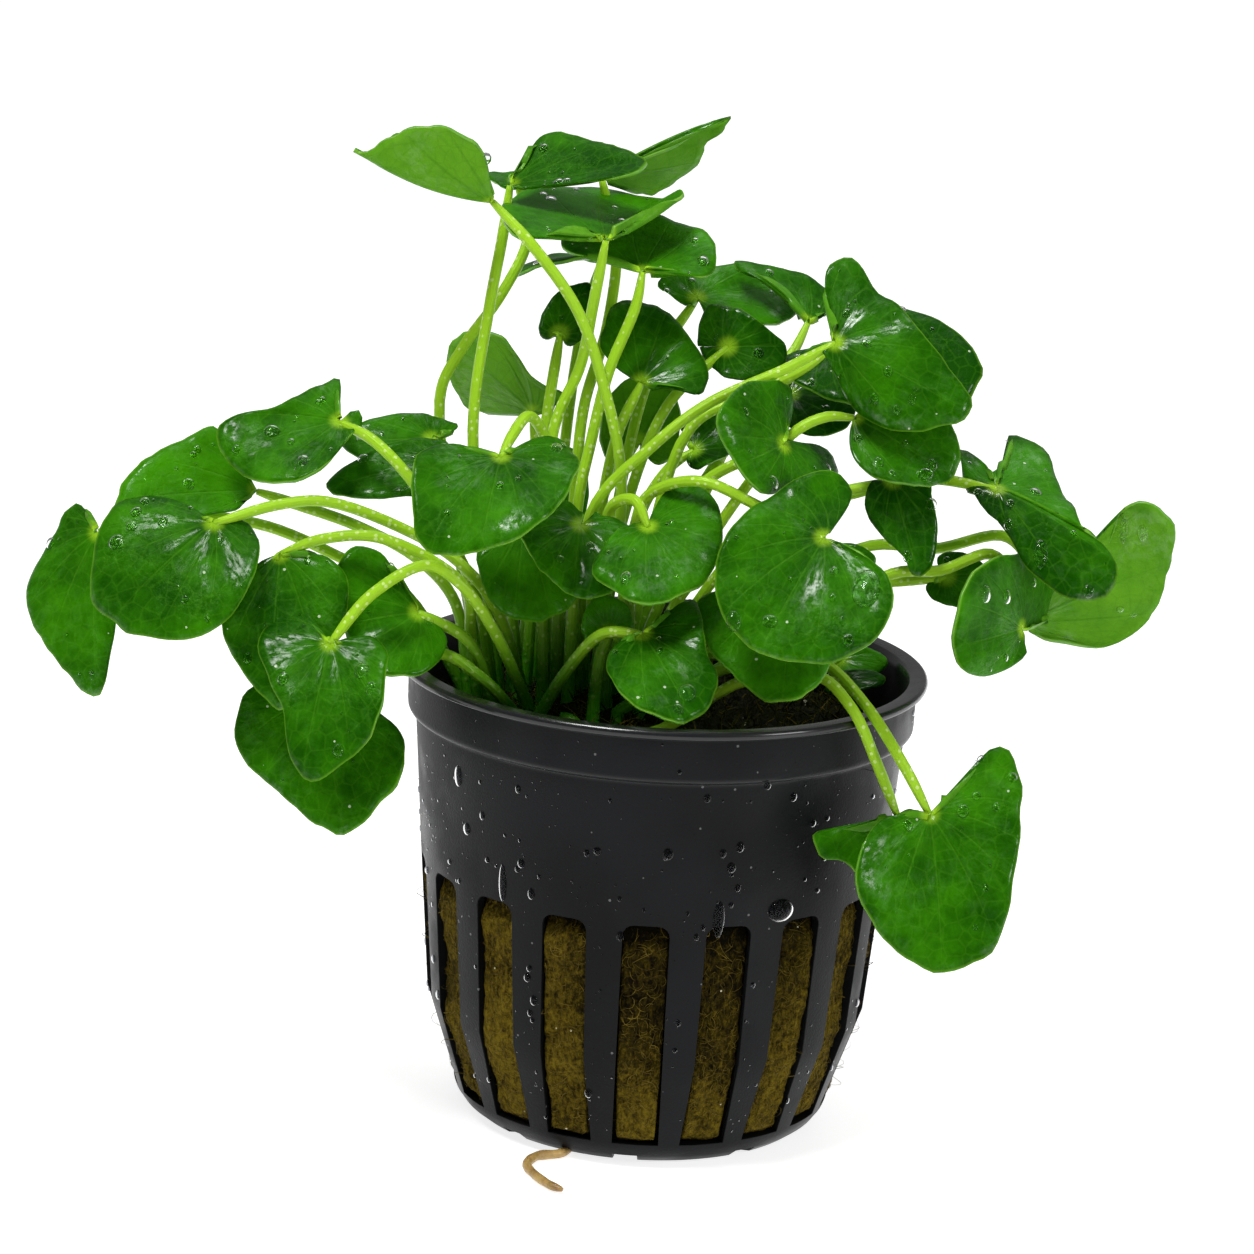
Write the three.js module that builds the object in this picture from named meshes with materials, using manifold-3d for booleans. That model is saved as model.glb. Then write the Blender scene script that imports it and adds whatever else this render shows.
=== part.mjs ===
// Potted nymphoides: a bunch of heart-shaped floating-heart leaves, held out
// of the water, in a slotted 5 cm net pot filled with rockwool.
// Millimetres. +Z is up, the pot stands on z = 0 with its axis on the Z axis,
// and the front of the plant faces -Y.
import * as THREE from "three";
import { mergeVertices } from "three/addons/utils/BufferGeometryUtils.js";
import Module from "manifold-3d";

const wasm = await Module();
wasm.setup();

// Pot
const LIP_RADIUS = 28.5;
const POT_HEIGHT = 50.5;
const LIP_THICKNESS = 0.9;
const BAND_RADIUS = 27.3;
const BAND_BOTTOM = 44.8;
const BODY_TOP_RADIUS = 26.4;
const BODY_MID_RADIUS = 25.2;
const BODY_LOW_RADIUS = 23.6;
const BODY_BOTTOM_RADIUS = 20.6;
const BODY_LOW_HEIGHT = 12.0;
const FOOT_RADIUS = 17.0;
const FOOT_HEIGHT = 1.3;
const FOOT_INSET = 0.9;
const WALL = 1.0;
const FLOOR_THICKNESS = 1.3;

// Upright slots round the body, then radial drain slots in the floor
const SLOT_COUNT = 18;
const SLOT_WIDTH = 4.9;
const SLOT_BOTTOM = 2.9;
const SLOT_TOP = 28.7;
const SLOT_CORNER = 1.2;
const SLOT_FIRST_ANGLE = -91;
const SLOT_CUT_RADIUS = 14;
const DRAIN_COUNT = 9;
const DRAIN_WIDTH = 2.6;
const DRAIN_START = 8.5;
const DRAIN_FIRST_ANGLE = -114;

// Filling
const CLEARANCE = 0.35;
const WOOL_TOP = 39.0;
const MOSS_RIM_HEIGHT = 42.5;
const MOSS_EDGE_HEIGHT = 43.6;
const MOSS_CROWN_HEIGHT = 47.6;
const MOSS_CROWN_X = -6;
const MOSS_CROWN_Y = -6;
const MOSS_CROWN_SPREAD = 260;
const MOSS_WAVE = 0.35;

// Plant
const CROWN = new THREE.Vector3(-10, -3, 0);
const CROWN_STEP = 2.7;
const STALK_RADIUS = 0.9;
const STALK_SIDES = 5;
const BLADE_THICKNESS = 0.6;
const ROOT_RADIUS = 0.55;

const POT_COLOUR = 0x262629;
const WOOL_COLOUR = 0x6b5c22;
const MOSS_COLOUR = 0x2c3415;
const ROOT_COLOUR = 0x8a6a3c;
const LEAF_COLOUR = 0x2c6a12;

// The leaves. at: junction of stalk and blade. tip: apex of the blade. wide:
// blade width. face: the way the upper side looks. fold: upward fold of the
// left and right half, in degrees. lobes: reach of the left and right lobe
// behind the junction. droop: bend of the midrib, in degrees. place: ring and
// step of the stalk in the crown. bends: points that the stalk passes.
const LEAVES = [
  { name: "01", at: [-20.5, -2.5, 99.5], tip: [-35, -6, 104.5], wide: 14, face: [0, 0, 1],
    fold: [72, 45], lobes: [0.2, 0.2], place: [1, 0],
    bends: [[-5.5, -5, 70.5], [-8, -5.5, 81.5], [-11, -5.5, 89], [-15.5, -5.5, 95]] },
  { name: "02", at: [-19, 5, 101], tip: [-5, 2, 104.5], wide: 13, face: [0.1, -0.35, 0.95],
    lobes: [1, 0.2], place: [3, 8], bends: [[-21.5, -2, 75], [-20.5, 1, 87.5], [-19.5, 4, 95]] },
  { name: "03", at: [-8.5, -2, 96], tip: [-4, 11, 98], wide: 19, face: [0, -0.2, 0.98],
    fold: [5, 25], lobes: [1.3, 0.5], droop: 5, place: [1, 3],
    bends: [[-13, -3, 75.5], [-10.5, -1, 82.5], [-9.5, -1.5, 89]] },
  { name: "04", at: [-9.5, 12, 101], tip: [4, 15.5, 108.5], wide: 11, face: [-0.3, 0.5, 0.8],
    lobes: [0.5, 0.5], place: [1, 2],
    bends: [[-10.5, 0, 67], [-10, 4, 77], [-8, 8.5, 85], [-7.5, 12.5, 93.5]] },
  { name: "05", at: [-4.5, 0.5, 92.5], tip: [-2, 9.5, 96], wide: 16.5, face: [0, -0.2, 0.98],
    lobes: [0.6, 0.4], droop: 5, place: [0, 0],
    bends: [[-10, -4, 68], [-9, -3, 74.5], [-7.5, -1.5, 82], [-5, 0, 89]] },
  { name: "06", at: [-18.5, 14, 101], tip: [-21, 17.5, 101.5], wide: 5, face: [0, -0.2, 0.98],
    place: [4, 10], bends: [[-25.5, 5.5, 77], [-23.5, 6, 82], [-19.5, 8, 88], [-17, 11, 94]] },
  { name: "07", at: [-9, 17, 91], tip: [-18.5, 14, 89.5], wide: 9, face: [0, 0.2, 0.98],
    place: [4, 7] },
  { name: "08", at: [-13, 8, 84], tip: [-10.5, 12.5, 89], wide: 5.5, face: [0, -0.5, 0.85],
    lobes: [0.5, 0.5], place: [2, 5], bends: [[-14, 2, 74]] },
  { name: "09", at: [-4, 1, 80.5], tip: [-1, 9, 89], wide: 10, face: [0, -0.7, 0.7],
    lobes: [1, 0.5], place: [1, 1] },
  { name: "10", at: [-15.5, 9, 75], tip: [-25, 13, 81.5], wide: 10, face: [-0.3, 0.8, 0.5],
    lobes: [0.6, 0.6], place: [3, 6] },
  { name: "11", at: [1.5, 12, 88], tip: [12, 17, 88.5], wide: 12, face: [0, -0.6, 0.8],
    place: [4, 5] },
  { name: "12", at: [13.5, 8.5, 86.5], tip: [5.5, 13.5, 92.5], wide: 11, face: [0.3, -0.4, 0.85],
    place: [3, 2], bends: [[8, 5, 79], [12, 7, 83.5]] },
  { name: "13", at: [5, 3, 84.5], tip: [10.5, 2.5, 85], wide: 7.5, face: [0, -0.9, 0.4],
    lobes: [0.3, 0.3], place: [2, 2] },
  { name: "14", at: [16, -5, 87], tip: [30, -9, 81], wide: 17, face: [0.2, -0.85, 0.5],
    fold: [5, -30], lobes: [1.4, 0.3], place: [1, 5],
    bends: [[-8.5, -7, 68], [-2.5, -7.5, 75.5], [3, -6, 80], [11, -5, 84]] },
  { name: "15", at: [16.5, 5, 85], tip: [31.5, 2, 81], wide: 15, face: [0.3, -0.75, 0.6],
    lobes: [0.3, 1], place: [2, 0], bends: [[1.5, -1.5, 76.5], [7.5, -0.5, 80], [13, 2, 82.5]] },
  { name: "16", at: [18.5, -4, 79], tip: [29, -8, 74], wide: 12, face: [0.15, -0.9, 0.4],
    lobes: [0.5, 0.3], place: [3, 17], bends: [[3, -6.5, 63.5], [12, -5, 77], [15.5, -4.5, 79]] },
  { name: "17", at: [23, -4, 72.5], tip: [26, -9, 63], wide: 8, face: [0.1, -0.95, 0.3],
    place: [3, 0] },
  { name: "18", at: [33, -3, 73.5], tip: [46.5, -8, 62.5], wide: 15, face: [0.35, -0.55, 0.75],
    fold: [-35, -35], lobes: [1, 1], droop: 25, place: [3, 1],
    bends: [[10, 0, 66], [20, 1, 71], [27, 0, 74]] },
  { name: "20", at: [39, 4, 56], tip: [54, 2, 64], wide: 15, face: [-0.1, 0.97, 0.1], place: [4, 1],
    bends: [[20.5, 0.5, 64], [28.5, 2, 64], [36, 3, 65.5], [39.5, 4, 61]] },
  { name: "21", at: [37.5, -5.5, 57.5], tip: [30.5, -14, 57.5], wide: 12, face: [0.75, -0.6, 0.2],
    place: [4, 23], bends: [[23.5, -6.5, 63], [28.5, -7, 63.5], [34, -6, 65], [37, -5.5, 62]] },
  { name: "22", at: [29.5, -2.5, 62], tip: [34.5, -3, 60.5], wide: 6, face: [0, -0.9, 0.4],
    place: [4, 0] },
  { name: "23", at: [17.5, -8.5, 63.5], tip: [21.5, -9.5, 64.5], wide: 5.5, face: [0, -0.9, 0.4],
    place: [4, 22] },
  { name: "24", at: [15.5, -18, 69], tip: [9.5, -26, 59], wide: 19, face: [-0.1, -0.85, 0.5],
    lobes: [0.6, 1.9], place: [3, 16],
    bends: [[-3.5, -8.5, 69], [-2, -10, 71.5], [3, -14.5, 72.5], [9, -18, 71.5]] },
  { name: "25", at: [12, -13, 61.5], tip: [7.5, -21, 53], wide: 15, face: [-0.1, -0.85, 0.5],
    place: [4, 21], bends: [[-0.5, -10.5, 53], [5, -11.5, 59.5]] },
  { name: "26", at: [-2.5, -18.5, 58], tip: [3, -27, 51.5], wide: 12.5, face: [0.1, -0.8, 0.6],
    place: [4, 17], bends: [[-10, -15, 53], [-6.5, -17, 57.5]] },
  { name: "27", at: [-6, -13.5, 56.5], tip: [-6.5, -12.5, 60.5], wide: 5.5, face: [0, -0.9, 0.4],
    place: [4, 19] },
  { name: "28", at: [-2.5, -13, 68], tip: [2, -21, 62.5], wide: 14.5, face: [0.05, -0.7, 0.7],
    lobes: [0.8, 0.5], place: [3, 15],
    bends: [[-6.5, -8.5, 60], [-6.5, -9, 69], [-4, -11.5, 70.5]] },
  { name: "29", at: [-9.5, -11.5, 67.5], tip: [-10, -18.5, 60], wide: 12.5, face: [0, -0.75, 0.65],
    lobes: [0.4, 0.4], place: [2, 9] },
  { name: "30", at: [-15.5, -8, 66], tip: [-16, -13, 57.5], wide: 9.5, face: [0, -0.8, 0.6],
    place: [2, 8] },
  { name: "31", at: [-18, -15, 75], tip: [-19.5, -25, 67], wide: 17.5, face: [0, -0.75, 0.66],
    droop: 25, place: [1, 4],
    bends: [[-12, -5, 66], [-13.5, -6.5, 75], [-15.5, -10, 78.5], [-17, -13, 77]] },
  { name: "32", at: [-47.5, -13, 66], tip: [-57, -20, 56.5], wide: 17, face: [-0.15, -0.85, 0.5],
    place: [2, 7],
    bends: [[-18, -8.5, 57.5], [-22, -10, 62.5], [-27, -10.5, 65.5], [-36, -11, 68.5],
      [-41, -11.5, 68]] },
  { name: "33", at: [-60.5, -5, 62.5], tip: [-59.5, -11, 46], wide: 15.5, face: [-0.35, -0.9, 0.3],
    fold: [-20, 0], place: [4, 12],
    bends: [[-28, -3, 57.2], [-35, -3, 60.7], [-43.5, -3, 63.8], [-53, -3.5, 64.3]] },
  { name: "34", at: [-44, -3.5, 67.5], tip: [-59, -8.5, 66.5], wide: 14, face: [0, -0.8, 0.6],
    lobes: [0.2, 1], place: [4, 13],
    bends: [[-22.5, -5, 57], [-26.5, -5.5, 61.5], [-33, -4.5, 64.5], [-40, -4, 66.5]] },
  { name: "35", at: [-35.5, -4, 75.5], tip: [-48.5, -8, 71.5], wide: 13, face: [-0.05, -0.65, 0.75],
    lobes: [0.7, 1.5], place: [3, 9],
    bends: [[-20, -5, 57], [-23.5, -8, 65], [-28, -9, 71.5], [-32, -6.5, 74.5]] },
  { name: "36", at: [-26, 1.5, 73], tip: [-35.5, 0.5, 72], wide: 7, face: [0, -0.6, 0.8],
    place: [3, 7] },
  { name: "37", at: [-24.5, -3, 71.5], tip: [-36, -4, 68.5], wide: 7, face: [0, -0.7, 0.7],
    lobes: [0.3, 0.3], place: [2, 6], bends: [[-17, -4, 58], [-21.5, -4.5, 67]] },
  { name: "38", at: [-40.5, -12.5, 63], tip: [-40.5, -19, 49.5], wide: 12, face: [-0.1, -0.85, 0.5],
    place: [4, 14],
    bends: [[-20.5, -8.5, 54], [-21.5, -13, 61], [-30, -13.5, 65.5], [-36, -13, 65]] },
  { name: "39", at: [-34.5, -19.5, 55.5], tip: [-36.5, -27, 43], wide: 13, face: [-0.05, -0.9, 0.4],
    lobes: [1, 0.5], place: [3, 12],
    bends: [[-18, -14, 56.5], [-21.5, -15.5, 61.5], [-25, -16, 63.5], [-30.5, -17.5, 60.5]] },
  { name: "41", at: [-35.5, -12, 47.5], tip: [-32.5, -19, 35], wide: 18, face: [-0.1, -0.85, 0.5],
    place: [4, 16], bends: [[-18.5, -14.5, 51], [-23.5, -11.5, 53], [-30, -11.5, 51.5]] },
  { name: "42", at: [-26, -12.5, 57.5], tip: [-33, -14.5, 56.5], wide: 14, face: [-0.1, -0.85, 0.5],
    place: [4, 15], bends: [[-20.5, -12, 54.5]] },
  { name: "43", at: [28, -22, 41.5], tip: [30, -29, 26.5], wide: 17.5, face: [0.2, -0.9, 0.35],
    fold: [15, 5], lobes: [2.2, 0.5], place: [4, 20],
    bends: [[-2, -13.5, 50], [5, -13.5, 53], [14, -13, 55], [20.5, -14.5, 54.5],
      [25, -18, 52.5], [27.5, -21, 47.5]] },
  { name: "44", at: [25, -18, 40], tip: [26.5, -20, 26.5], wide: 15, face: [0.4, -0.85, 0.35],
    lobes: [1, 0.6], place: [4, 18],
    bends: [[-8.5, -15.5, 50.5], [0, -18, 51.5], [12, -18.5, 53.5], [17.5, -19.5, 53.5],
      [21, -21, 52.5], [23.5, -20.5, 46.5]] },
  { name: "45", at: [19.5, 8, 49.5], tip: [24.5, 7, 49.5], wide: 4, face: [0, -0.7, 0.7], droop: 5,
    place: [4, 3], bends: [[2, 5.5, 51.5], [12, 7, 51.5]] },
  { name: "46", at: [19, 2, 48.5], tip: [24, 1, 49.5], wide: 3, face: [0, -0.7, 0.7], droop: 5,
    place: [4, 2], bends: [[3, 2.5, 50.5], [12, 2.5, 50]] },
  { name: "47", at: [11, -8, 76.5], tip: [5.5, -14.5, 75], wide: 11.5, face: [0.68, -0.57, 0.46],
    lobes: [1.4, 1.4], place: [2, 11] },
  { name: "48", at: [2, 1, 73.5], tip: [8, 1, 74], wide: 8, face: [0, -0.7, 0.7], place: [2, 1],
    bends: [[-3.5, 0, 66], [-0.5, 1, 71.5]] },
  { name: "49", at: [12, 6, 79], tip: [18.5, 3.5, 76.5], wide: 8, face: [0, -0.7, 0.7],
    place: [4, 4], bends: [[3, 8, 68], [8.5, 8, 76]] },
  { name: "52", at: [-4, 11.5, 72], tip: [-3.5, 14.5, 79], wide: 9, face: [0, 0.9, 0.4],
    place: [4, 6] },
  { name: "53", at: [-13.5, 12.5, 62], tip: [-12, 14, 71], wide: 8, face: [0, -0.9, 0.4],
    place: [4, 8] },
];

// The route of the root: out of a drain slot and along the ground.
const ROOT_ROUTE = [
  [-6.5, -14.6, 0.7], [-8.1, -18.2, 0.6], [-10.6, -19.4, 0.6], [-11.6, -22, 0.6],
  [-10.7, -24.7, 0.6], [-9, -27.4, 0.6], [-7.7, -28.5, 0.6],
];

const UP = new THREE.Vector3(0, 0, 1);
const radians = THREE.MathUtils.degToRad;
const vector = (xyz) => new THREE.Vector3(...xyz);

/** A solid for cutting and joining, from any closed three.js geometry. */
function solidFrom(geometry) {
  const plain = geometry.clone();
  plain.deleteAttribute("normal");
  plain.deleteAttribute("uv");
  const merged = mergeVertices(plain, 1e-4);
  return new wasm.Manifold(new wasm.Mesh({
    numProp: 3,
    vertProperties: new Float32Array(merged.attributes.position.array),
    triVerts: new Uint32Array(merged.index.array),
  }));
}

/** The three.js geometry of a solid. */
function geometryFrom(solid) {
  const mesh = solid.getMesh();
  const geometry = new THREE.BufferGeometry();
  geometry.setAttribute("position", new THREE.BufferAttribute(mesh.vertProperties, 3));
  geometry.setIndex(new THREE.BufferAttribute(mesh.triVerts, 1));
  geometry.computeVertexNormals();
  return geometry;
}

/** A named mesh with its own material. */
function piece(name, geometry, color, roughness) {
  const material = new THREE.MeshStandardMaterial({ color, roughness, metalness: 0 });
  const mesh = new THREE.Mesh(geometry, material);
  mesh.name = name;
  return mesh;
}

/** A solid of revolution about the Z axis from [radius, height] pairs. */
function turned(profile, segments) {
  const points = profile.map(([radius, height]) => new THREE.Vector2(radius, height));
  return new THREE.LatheGeometry(points, segments).rotateX(Math.PI / 2);
}

/** Inner radius of the pot wall at a height. */
function innerRadius(height) {
  const stations = [
    [FLOOR_THICKNESS, BODY_BOTTOM_RADIUS - 1.4], [SLOT_BOTTOM + 1, BODY_BOTTOM_RADIUS + 0.5],
    [BODY_LOW_HEIGHT, BODY_LOW_RADIUS], [SLOT_TOP, BODY_MID_RADIUS],
    [BAND_BOTTOM, BODY_TOP_RADIUS], [POT_HEIGHT, BAND_RADIUS],
  ];
  for (let i = 1; i < stations.length; i += 1) {
    const [lowZ, lowR] = stations[i - 1];
    const [highZ, highR] = stations[i];
    if (height <= highZ) {
      const t = (height - lowZ) / (highZ - lowZ);
      return lowR + t * (highR - lowR) - WALL;
    }
  }
  return BAND_RADIUS - WALL;
}

/** One upright slot as a block with rounded upper corners, cut through the wall. */
function slotCutter(angle) {
  const half = SLOT_WIDTH / 2;
  const shape = new THREE.Shape();
  shape.moveTo(-half, SLOT_BOTTOM);
  shape.lineTo(half, SLOT_BOTTOM);
  shape.lineTo(half, SLOT_TOP - SLOT_CORNER);
  shape.lineTo(half - SLOT_CORNER, SLOT_TOP);
  shape.lineTo(SLOT_CORNER - half, SLOT_TOP);
  shape.lineTo(-half, SLOT_TOP - SLOT_CORNER);
  const reach = LIP_RADIUS - SLOT_CUT_RADIUS;
  const block = new THREE.ExtrudeGeometry(shape, { depth: reach, bevelEnabled: false });
  block.rotateX(Math.PI / 2);
  block.translate(0, -SLOT_CUT_RADIUS, 0);
  block.rotateZ(radians(angle + 90));
  return solidFrom(block);
}

/** One radial drain slot in the floor, open at the rounded foot. */
function drainCutter(angle) {
  const length = BODY_BOTTOM_RADIUS + 1 - DRAIN_START;
  const block = new THREE.BoxGeometry(length, DRAIN_WIDTH, 2 * FLOOR_THICKNESS + 0.4);
  block.translate(DRAIN_START + length / 2, 0, 0);
  block.rotateZ(radians(angle));
  return solidFrom(block);
}

/** Slotted net pot with an upright band and a thin lip. */
function pot() {
  const lipUnderside = POT_HEIGHT - LIP_THICKNESS;
  const profile = [
    [0, 0], [FOOT_RADIUS, 0], [BODY_BOTTOM_RADIUS - FOOT_INSET, FOOT_HEIGHT],
    [BODY_BOTTOM_RADIUS, SLOT_BOTTOM], [BODY_LOW_RADIUS + 0.3, BODY_LOW_HEIGHT + 1],
    [BODY_MID_RADIUS, SLOT_TOP], [BODY_TOP_RADIUS, BAND_BOTTOM - 0.4],
    [BAND_RADIUS - 0.2, BAND_BOTTOM], [BAND_RADIUS, lipUnderside],
    [LIP_RADIUS, lipUnderside + 0.1], [LIP_RADIUS, POT_HEIGHT],
    [innerRadius(POT_HEIGHT), POT_HEIGHT],
    [innerRadius(BAND_BOTTOM), BAND_BOTTOM], [innerRadius(SLOT_TOP), SLOT_TOP],
    [innerRadius(BODY_LOW_HEIGHT), BODY_LOW_HEIGHT],
    [innerRadius(SLOT_BOTTOM + 1), SLOT_BOTTOM + 1],
    [innerRadius(FLOOR_THICKNESS), FLOOR_THICKNESS], [0, FLOOR_THICKNESS],
  ];
  let solid = solidFrom(turned(profile, 2 * SLOT_COUNT));
  for (let i = 0; i < SLOT_COUNT; i += 1) {
    solid = solid.subtract(slotCutter(SLOT_FIRST_ANGLE + i * 360 / SLOT_COUNT));
  }
  for (let i = 0; i < DRAIN_COUNT; i += 1) {
    solid = solid.subtract(drainCutter(DRAIN_FIRST_ANGLE + i * 360 / DRAIN_COUNT));
  }
  return piece("net_pot", geometryFrom(solid), POT_COLOUR, 0.45);
}

/** Rockwool plug that fills the slotted part of the pot. */
function rockwool() {
  const bottom = FLOOR_THICKNESS + CLEARANCE;
  const heights = [bottom, SLOT_BOTTOM + 1, BODY_LOW_HEIGHT, SLOT_TOP, WOOL_TOP];
  const wall = heights.map((height) => [innerRadius(height) - CLEARANCE, height]);
  const profile = [[0, bottom], ...wall, [0, WOOL_TOP]];
  return piece("rockwool_plug", turned(profile, 20), WOOL_COLOUR, 0.95);
}

/** Height of the moss at a point of the plan. */
function mossHeight(x, y) {
  const offset = (x - MOSS_CROWN_X) ** 2 + (y - MOSS_CROWN_Y) ** 2;
  const crown = Math.exp(-offset / MOSS_CROWN_SPREAD);
  const waves = MOSS_WAVE * Math.sin(0.42 * x + 1.1) * Math.cos(0.37 * y - 0.4);
  return MOSS_EDGE_HEIGHT + (MOSS_CROWN_HEIGHT - MOSS_EDGE_HEIGHT) * crown + waves;
}

/** Mound of moss on top of the plug, from which the stalks rise. */
function moss() {
  const bottom = WOOL_TOP + CLEARANCE;
  const rimRadius = innerRadius(MOSS_RIM_HEIGHT) - CLEARANCE;
  const profile = [
    [0, bottom], [innerRadius(bottom) - CLEARANCE, bottom], [rimRadius, MOSS_RIM_HEIGHT],
    [rimRadius - 1.5, MOSS_EDGE_HEIGHT], [17, MOSS_EDGE_HEIGHT], [9, MOSS_EDGE_HEIGHT],
    [0, MOSS_EDGE_HEIGHT],
  ];
  const geometry = turned(profile, 20);
  const points = geometry.attributes.position;
  for (let i = 0; i < points.count; i += 1) {
    if (points.getZ(i) > MOSS_RIM_HEIGHT + 0.01) {
      points.setZ(i, mossHeight(points.getX(i), points.getY(i)));
    }
  }
  return piece("moss_mound", geometry, MOSS_COLOUR, 1.0);
}

/** Half outline of a blade from apex to sinus, as fractions of length and half width. */
const HALF_OUTLINE = [
  [1.0, 0], [0.93, 0.4], [0.66, 0.83], [0.24, 1.0], [-0.12, 0.88], [-0.27, 0.44],
];

/** Axes of a blade: along the midrib, to the left, and out of the upper side. */
function bladeAxes(junction, apex, face) {
  const along = apex.clone().sub(junction).normalize();
  const normal = face.clone().addScaledVector(along, -face.dot(along)).normalize();
  const left = normal.clone().cross(along);
  return { along, left, normal };
}

/** Place of a blade point: fractions along and across, and height over the surface. */
function bladePoint(leaf, u, v, height) {
  const bend = radians(leaf.droop);
  const arc = leaf.length * bend / (2 * Math.sin(bend / 2));
  const slope = bend / 2 - bend * u;
  const fold = radians(v >= 0 ? leaf.fold[0] : leaf.fold[1]);
  const across = v * leaf.wide / 2;
  const lift = Math.abs(across) * Math.sin(fold) + height;
  const x = arc * (Math.sin(bend / 2) - Math.sin(slope)) / bend + lift * -Math.sin(slope);
  const z = arc * (Math.cos(slope) - Math.cos(bend / 2)) / bend + lift * Math.cos(slope);
  return leaf.junction.clone()
    .addScaledVector(leaf.axes.along, x)
    .addScaledVector(leaf.axes.left, across * Math.cos(fold))
    .addScaledVector(leaf.axes.normal, z);
}

/** Heart-shaped blade as a thin closed solid. */
function blade(leaf) {
  const left = HALF_OUTLINE.slice().reverse();
  const right = HALF_OUTLINE.slice(1).map(([u, v]) => [u, -v]);
  const rim = [...left, ...right].map(([u, v]) => [u < 0 ? u * leaf.lobes[v > 0 ? 0 : 1] : u, v]);
  const inner = rim.filter((point, i) => i % 2 === 0).map(([u, v]) => [0.55 * u, 0.55 * v]);
  const flat = [[-0.04, 0], ...inner, ...rim, [0.3, 0]];
  const half = BLADE_THICKNESS / 2;
  const top = flat.map(([u, v]) => bladePoint(leaf, u, v, half));
  const bottom = flat.map(([u, v]) => bladePoint(leaf, u, v, -half));
  const firstRim = 1 + inner.length;
  const middle = flat.length - 1;
  const faces = [[middle, 1, 0], [middle, 0, inner.length]];
  for (let i = 1; i < inner.length; i += 1) {
    const outer = firstRim + 2 * (i - 1);
    faces.push([middle, i + 1, i], [i, i + 1, outer + 1]);
    faces.push([i, outer + 1, outer], [i + 1, outer + 2, outer + 1]);
  }
  const edge = [0, 1];
  for (let i = firstRim; i < middle; i += 1) {
    edge.push(i);
  }
  edge.push(inner.length);
  const shift = flat.length;
  const index = [];
  for (const [a, b, c] of faces) {
    index.push(a, b, c, a + shift, c + shift, b + shift);
  }
  for (let i = 0; i < edge.length; i += 1) {
    const a = edge[i];
    const b = edge[(i + 1) % edge.length];
    index.push(a, b, b + shift, a, b + shift, a + shift);
  }
  const geometry = new THREE.BufferGeometry();
  const positions = [...top, ...bottom].flatMap((p) => [p.x, p.y, p.z]);
  geometry.setAttribute("position", new THREE.Float32BufferAttribute(positions, 3));
  geometry.setIndex(index);
  return geometry;
}

/** Foot of a stalk: places on the crown lie in rings of 6, 12, 18 and 24. */
function crownPlace([ring, step]) {
  const angle = ring === 0 ? 0 : radians(step * 60 / ring);
  const x = CROWN.x + ring * CROWN_STEP * Math.cos(angle);
  const y = CROWN.y + ring * CROWN_STEP * Math.sin(angle);
  return new THREE.Vector3(x, y, mossHeight(x, y) + 1.0);
}

/** Round tube of one radius along a smooth curve through points. */
function tube(points, radius, sides, steps) {
  const shape = new THREE.Shape();
  for (let i = 0; i < sides; i += 1) {
    const angle = i * 2 * Math.PI / sides;
    const x = radius * Math.cos(angle);
    const y = radius * Math.sin(angle);
    if (i === 0) {
      shape.moveTo(x, y);
    } else {
      shape.lineTo(x, y);
    }
  }
  const path = new THREE.CatmullRomCurve3(points, false, "centripetal");
  return new THREE.ExtrudeGeometry(shape, { steps, extrudePath: path, bevelEnabled: false });
}

/** Points of a stalk from the crown up to the blade. */
function stalkPoints(leaf) {
  const foot = crownPlace(leaf.place);
  const bends = leaf.bends.map(vector);
  if (bends.length === 0) {
    const reach = leaf.junction.clone().sub(foot);
    bends.push(new THREE.Vector3(foot.x + 0.12 * reach.x, foot.y + 0.12 * reach.y,
      foot.z + 0.4 * reach.z));
    bends.push(new THREE.Vector3(foot.x + 0.5 * reach.x, foot.y + 0.5 * reach.y,
      foot.z + 0.82 * reach.z));
  }
  return [foot, ...bends, leaf.junction];
}

/** One leaf: its stalk and its blade, grown as one piece. */
function leafPiece(row) {
  const leaf = { fold: [5, 5], lobes: [1, 1], droop: 20, bends: [], ...row };
  leaf.junction = vector(leaf.at);
  leaf.length = vector(leaf.tip).distanceTo(leaf.junction);
  leaf.axes = bladeAxes(leaf.junction, vector(leaf.tip), vector(leaf.face));
  const points = stalkPoints(leaf);
  const stalk = tube(points, STALK_RADIUS, STALK_SIDES, Math.max(4, points.length + 1));
  const solid = solidFrom(blade(leaf)).add(solidFrom(stalk));
  return piece(`leaf_${leaf.name}`, geometryFrom(solid), LEAF_COLOUR, 0.35);
}

/** Single root that has grown out under the pot. */
function root() {
  return piece("root", tube(ROOT_ROUTE.map(vector), ROOT_RADIUS, 6, 10), ROOT_COLOUR, 0.8);
}

const group = new THREE.Group();
group.add(pot(), rockwool(), moss(), root());
for (const row of LEAVES) {
  group.add(leafPiece(row));
}

export default group;
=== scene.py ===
"""Potted nymphoides: heart-shaped floating-heart leaves in a slotted net pot of rockwool."""
import math
import random

import bmesh
import bpy
from bpy.props import FloatProperty, FloatVectorProperty, IntProperty, PointerProperty
from mathutils import Matrix, Vector, noise


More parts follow.
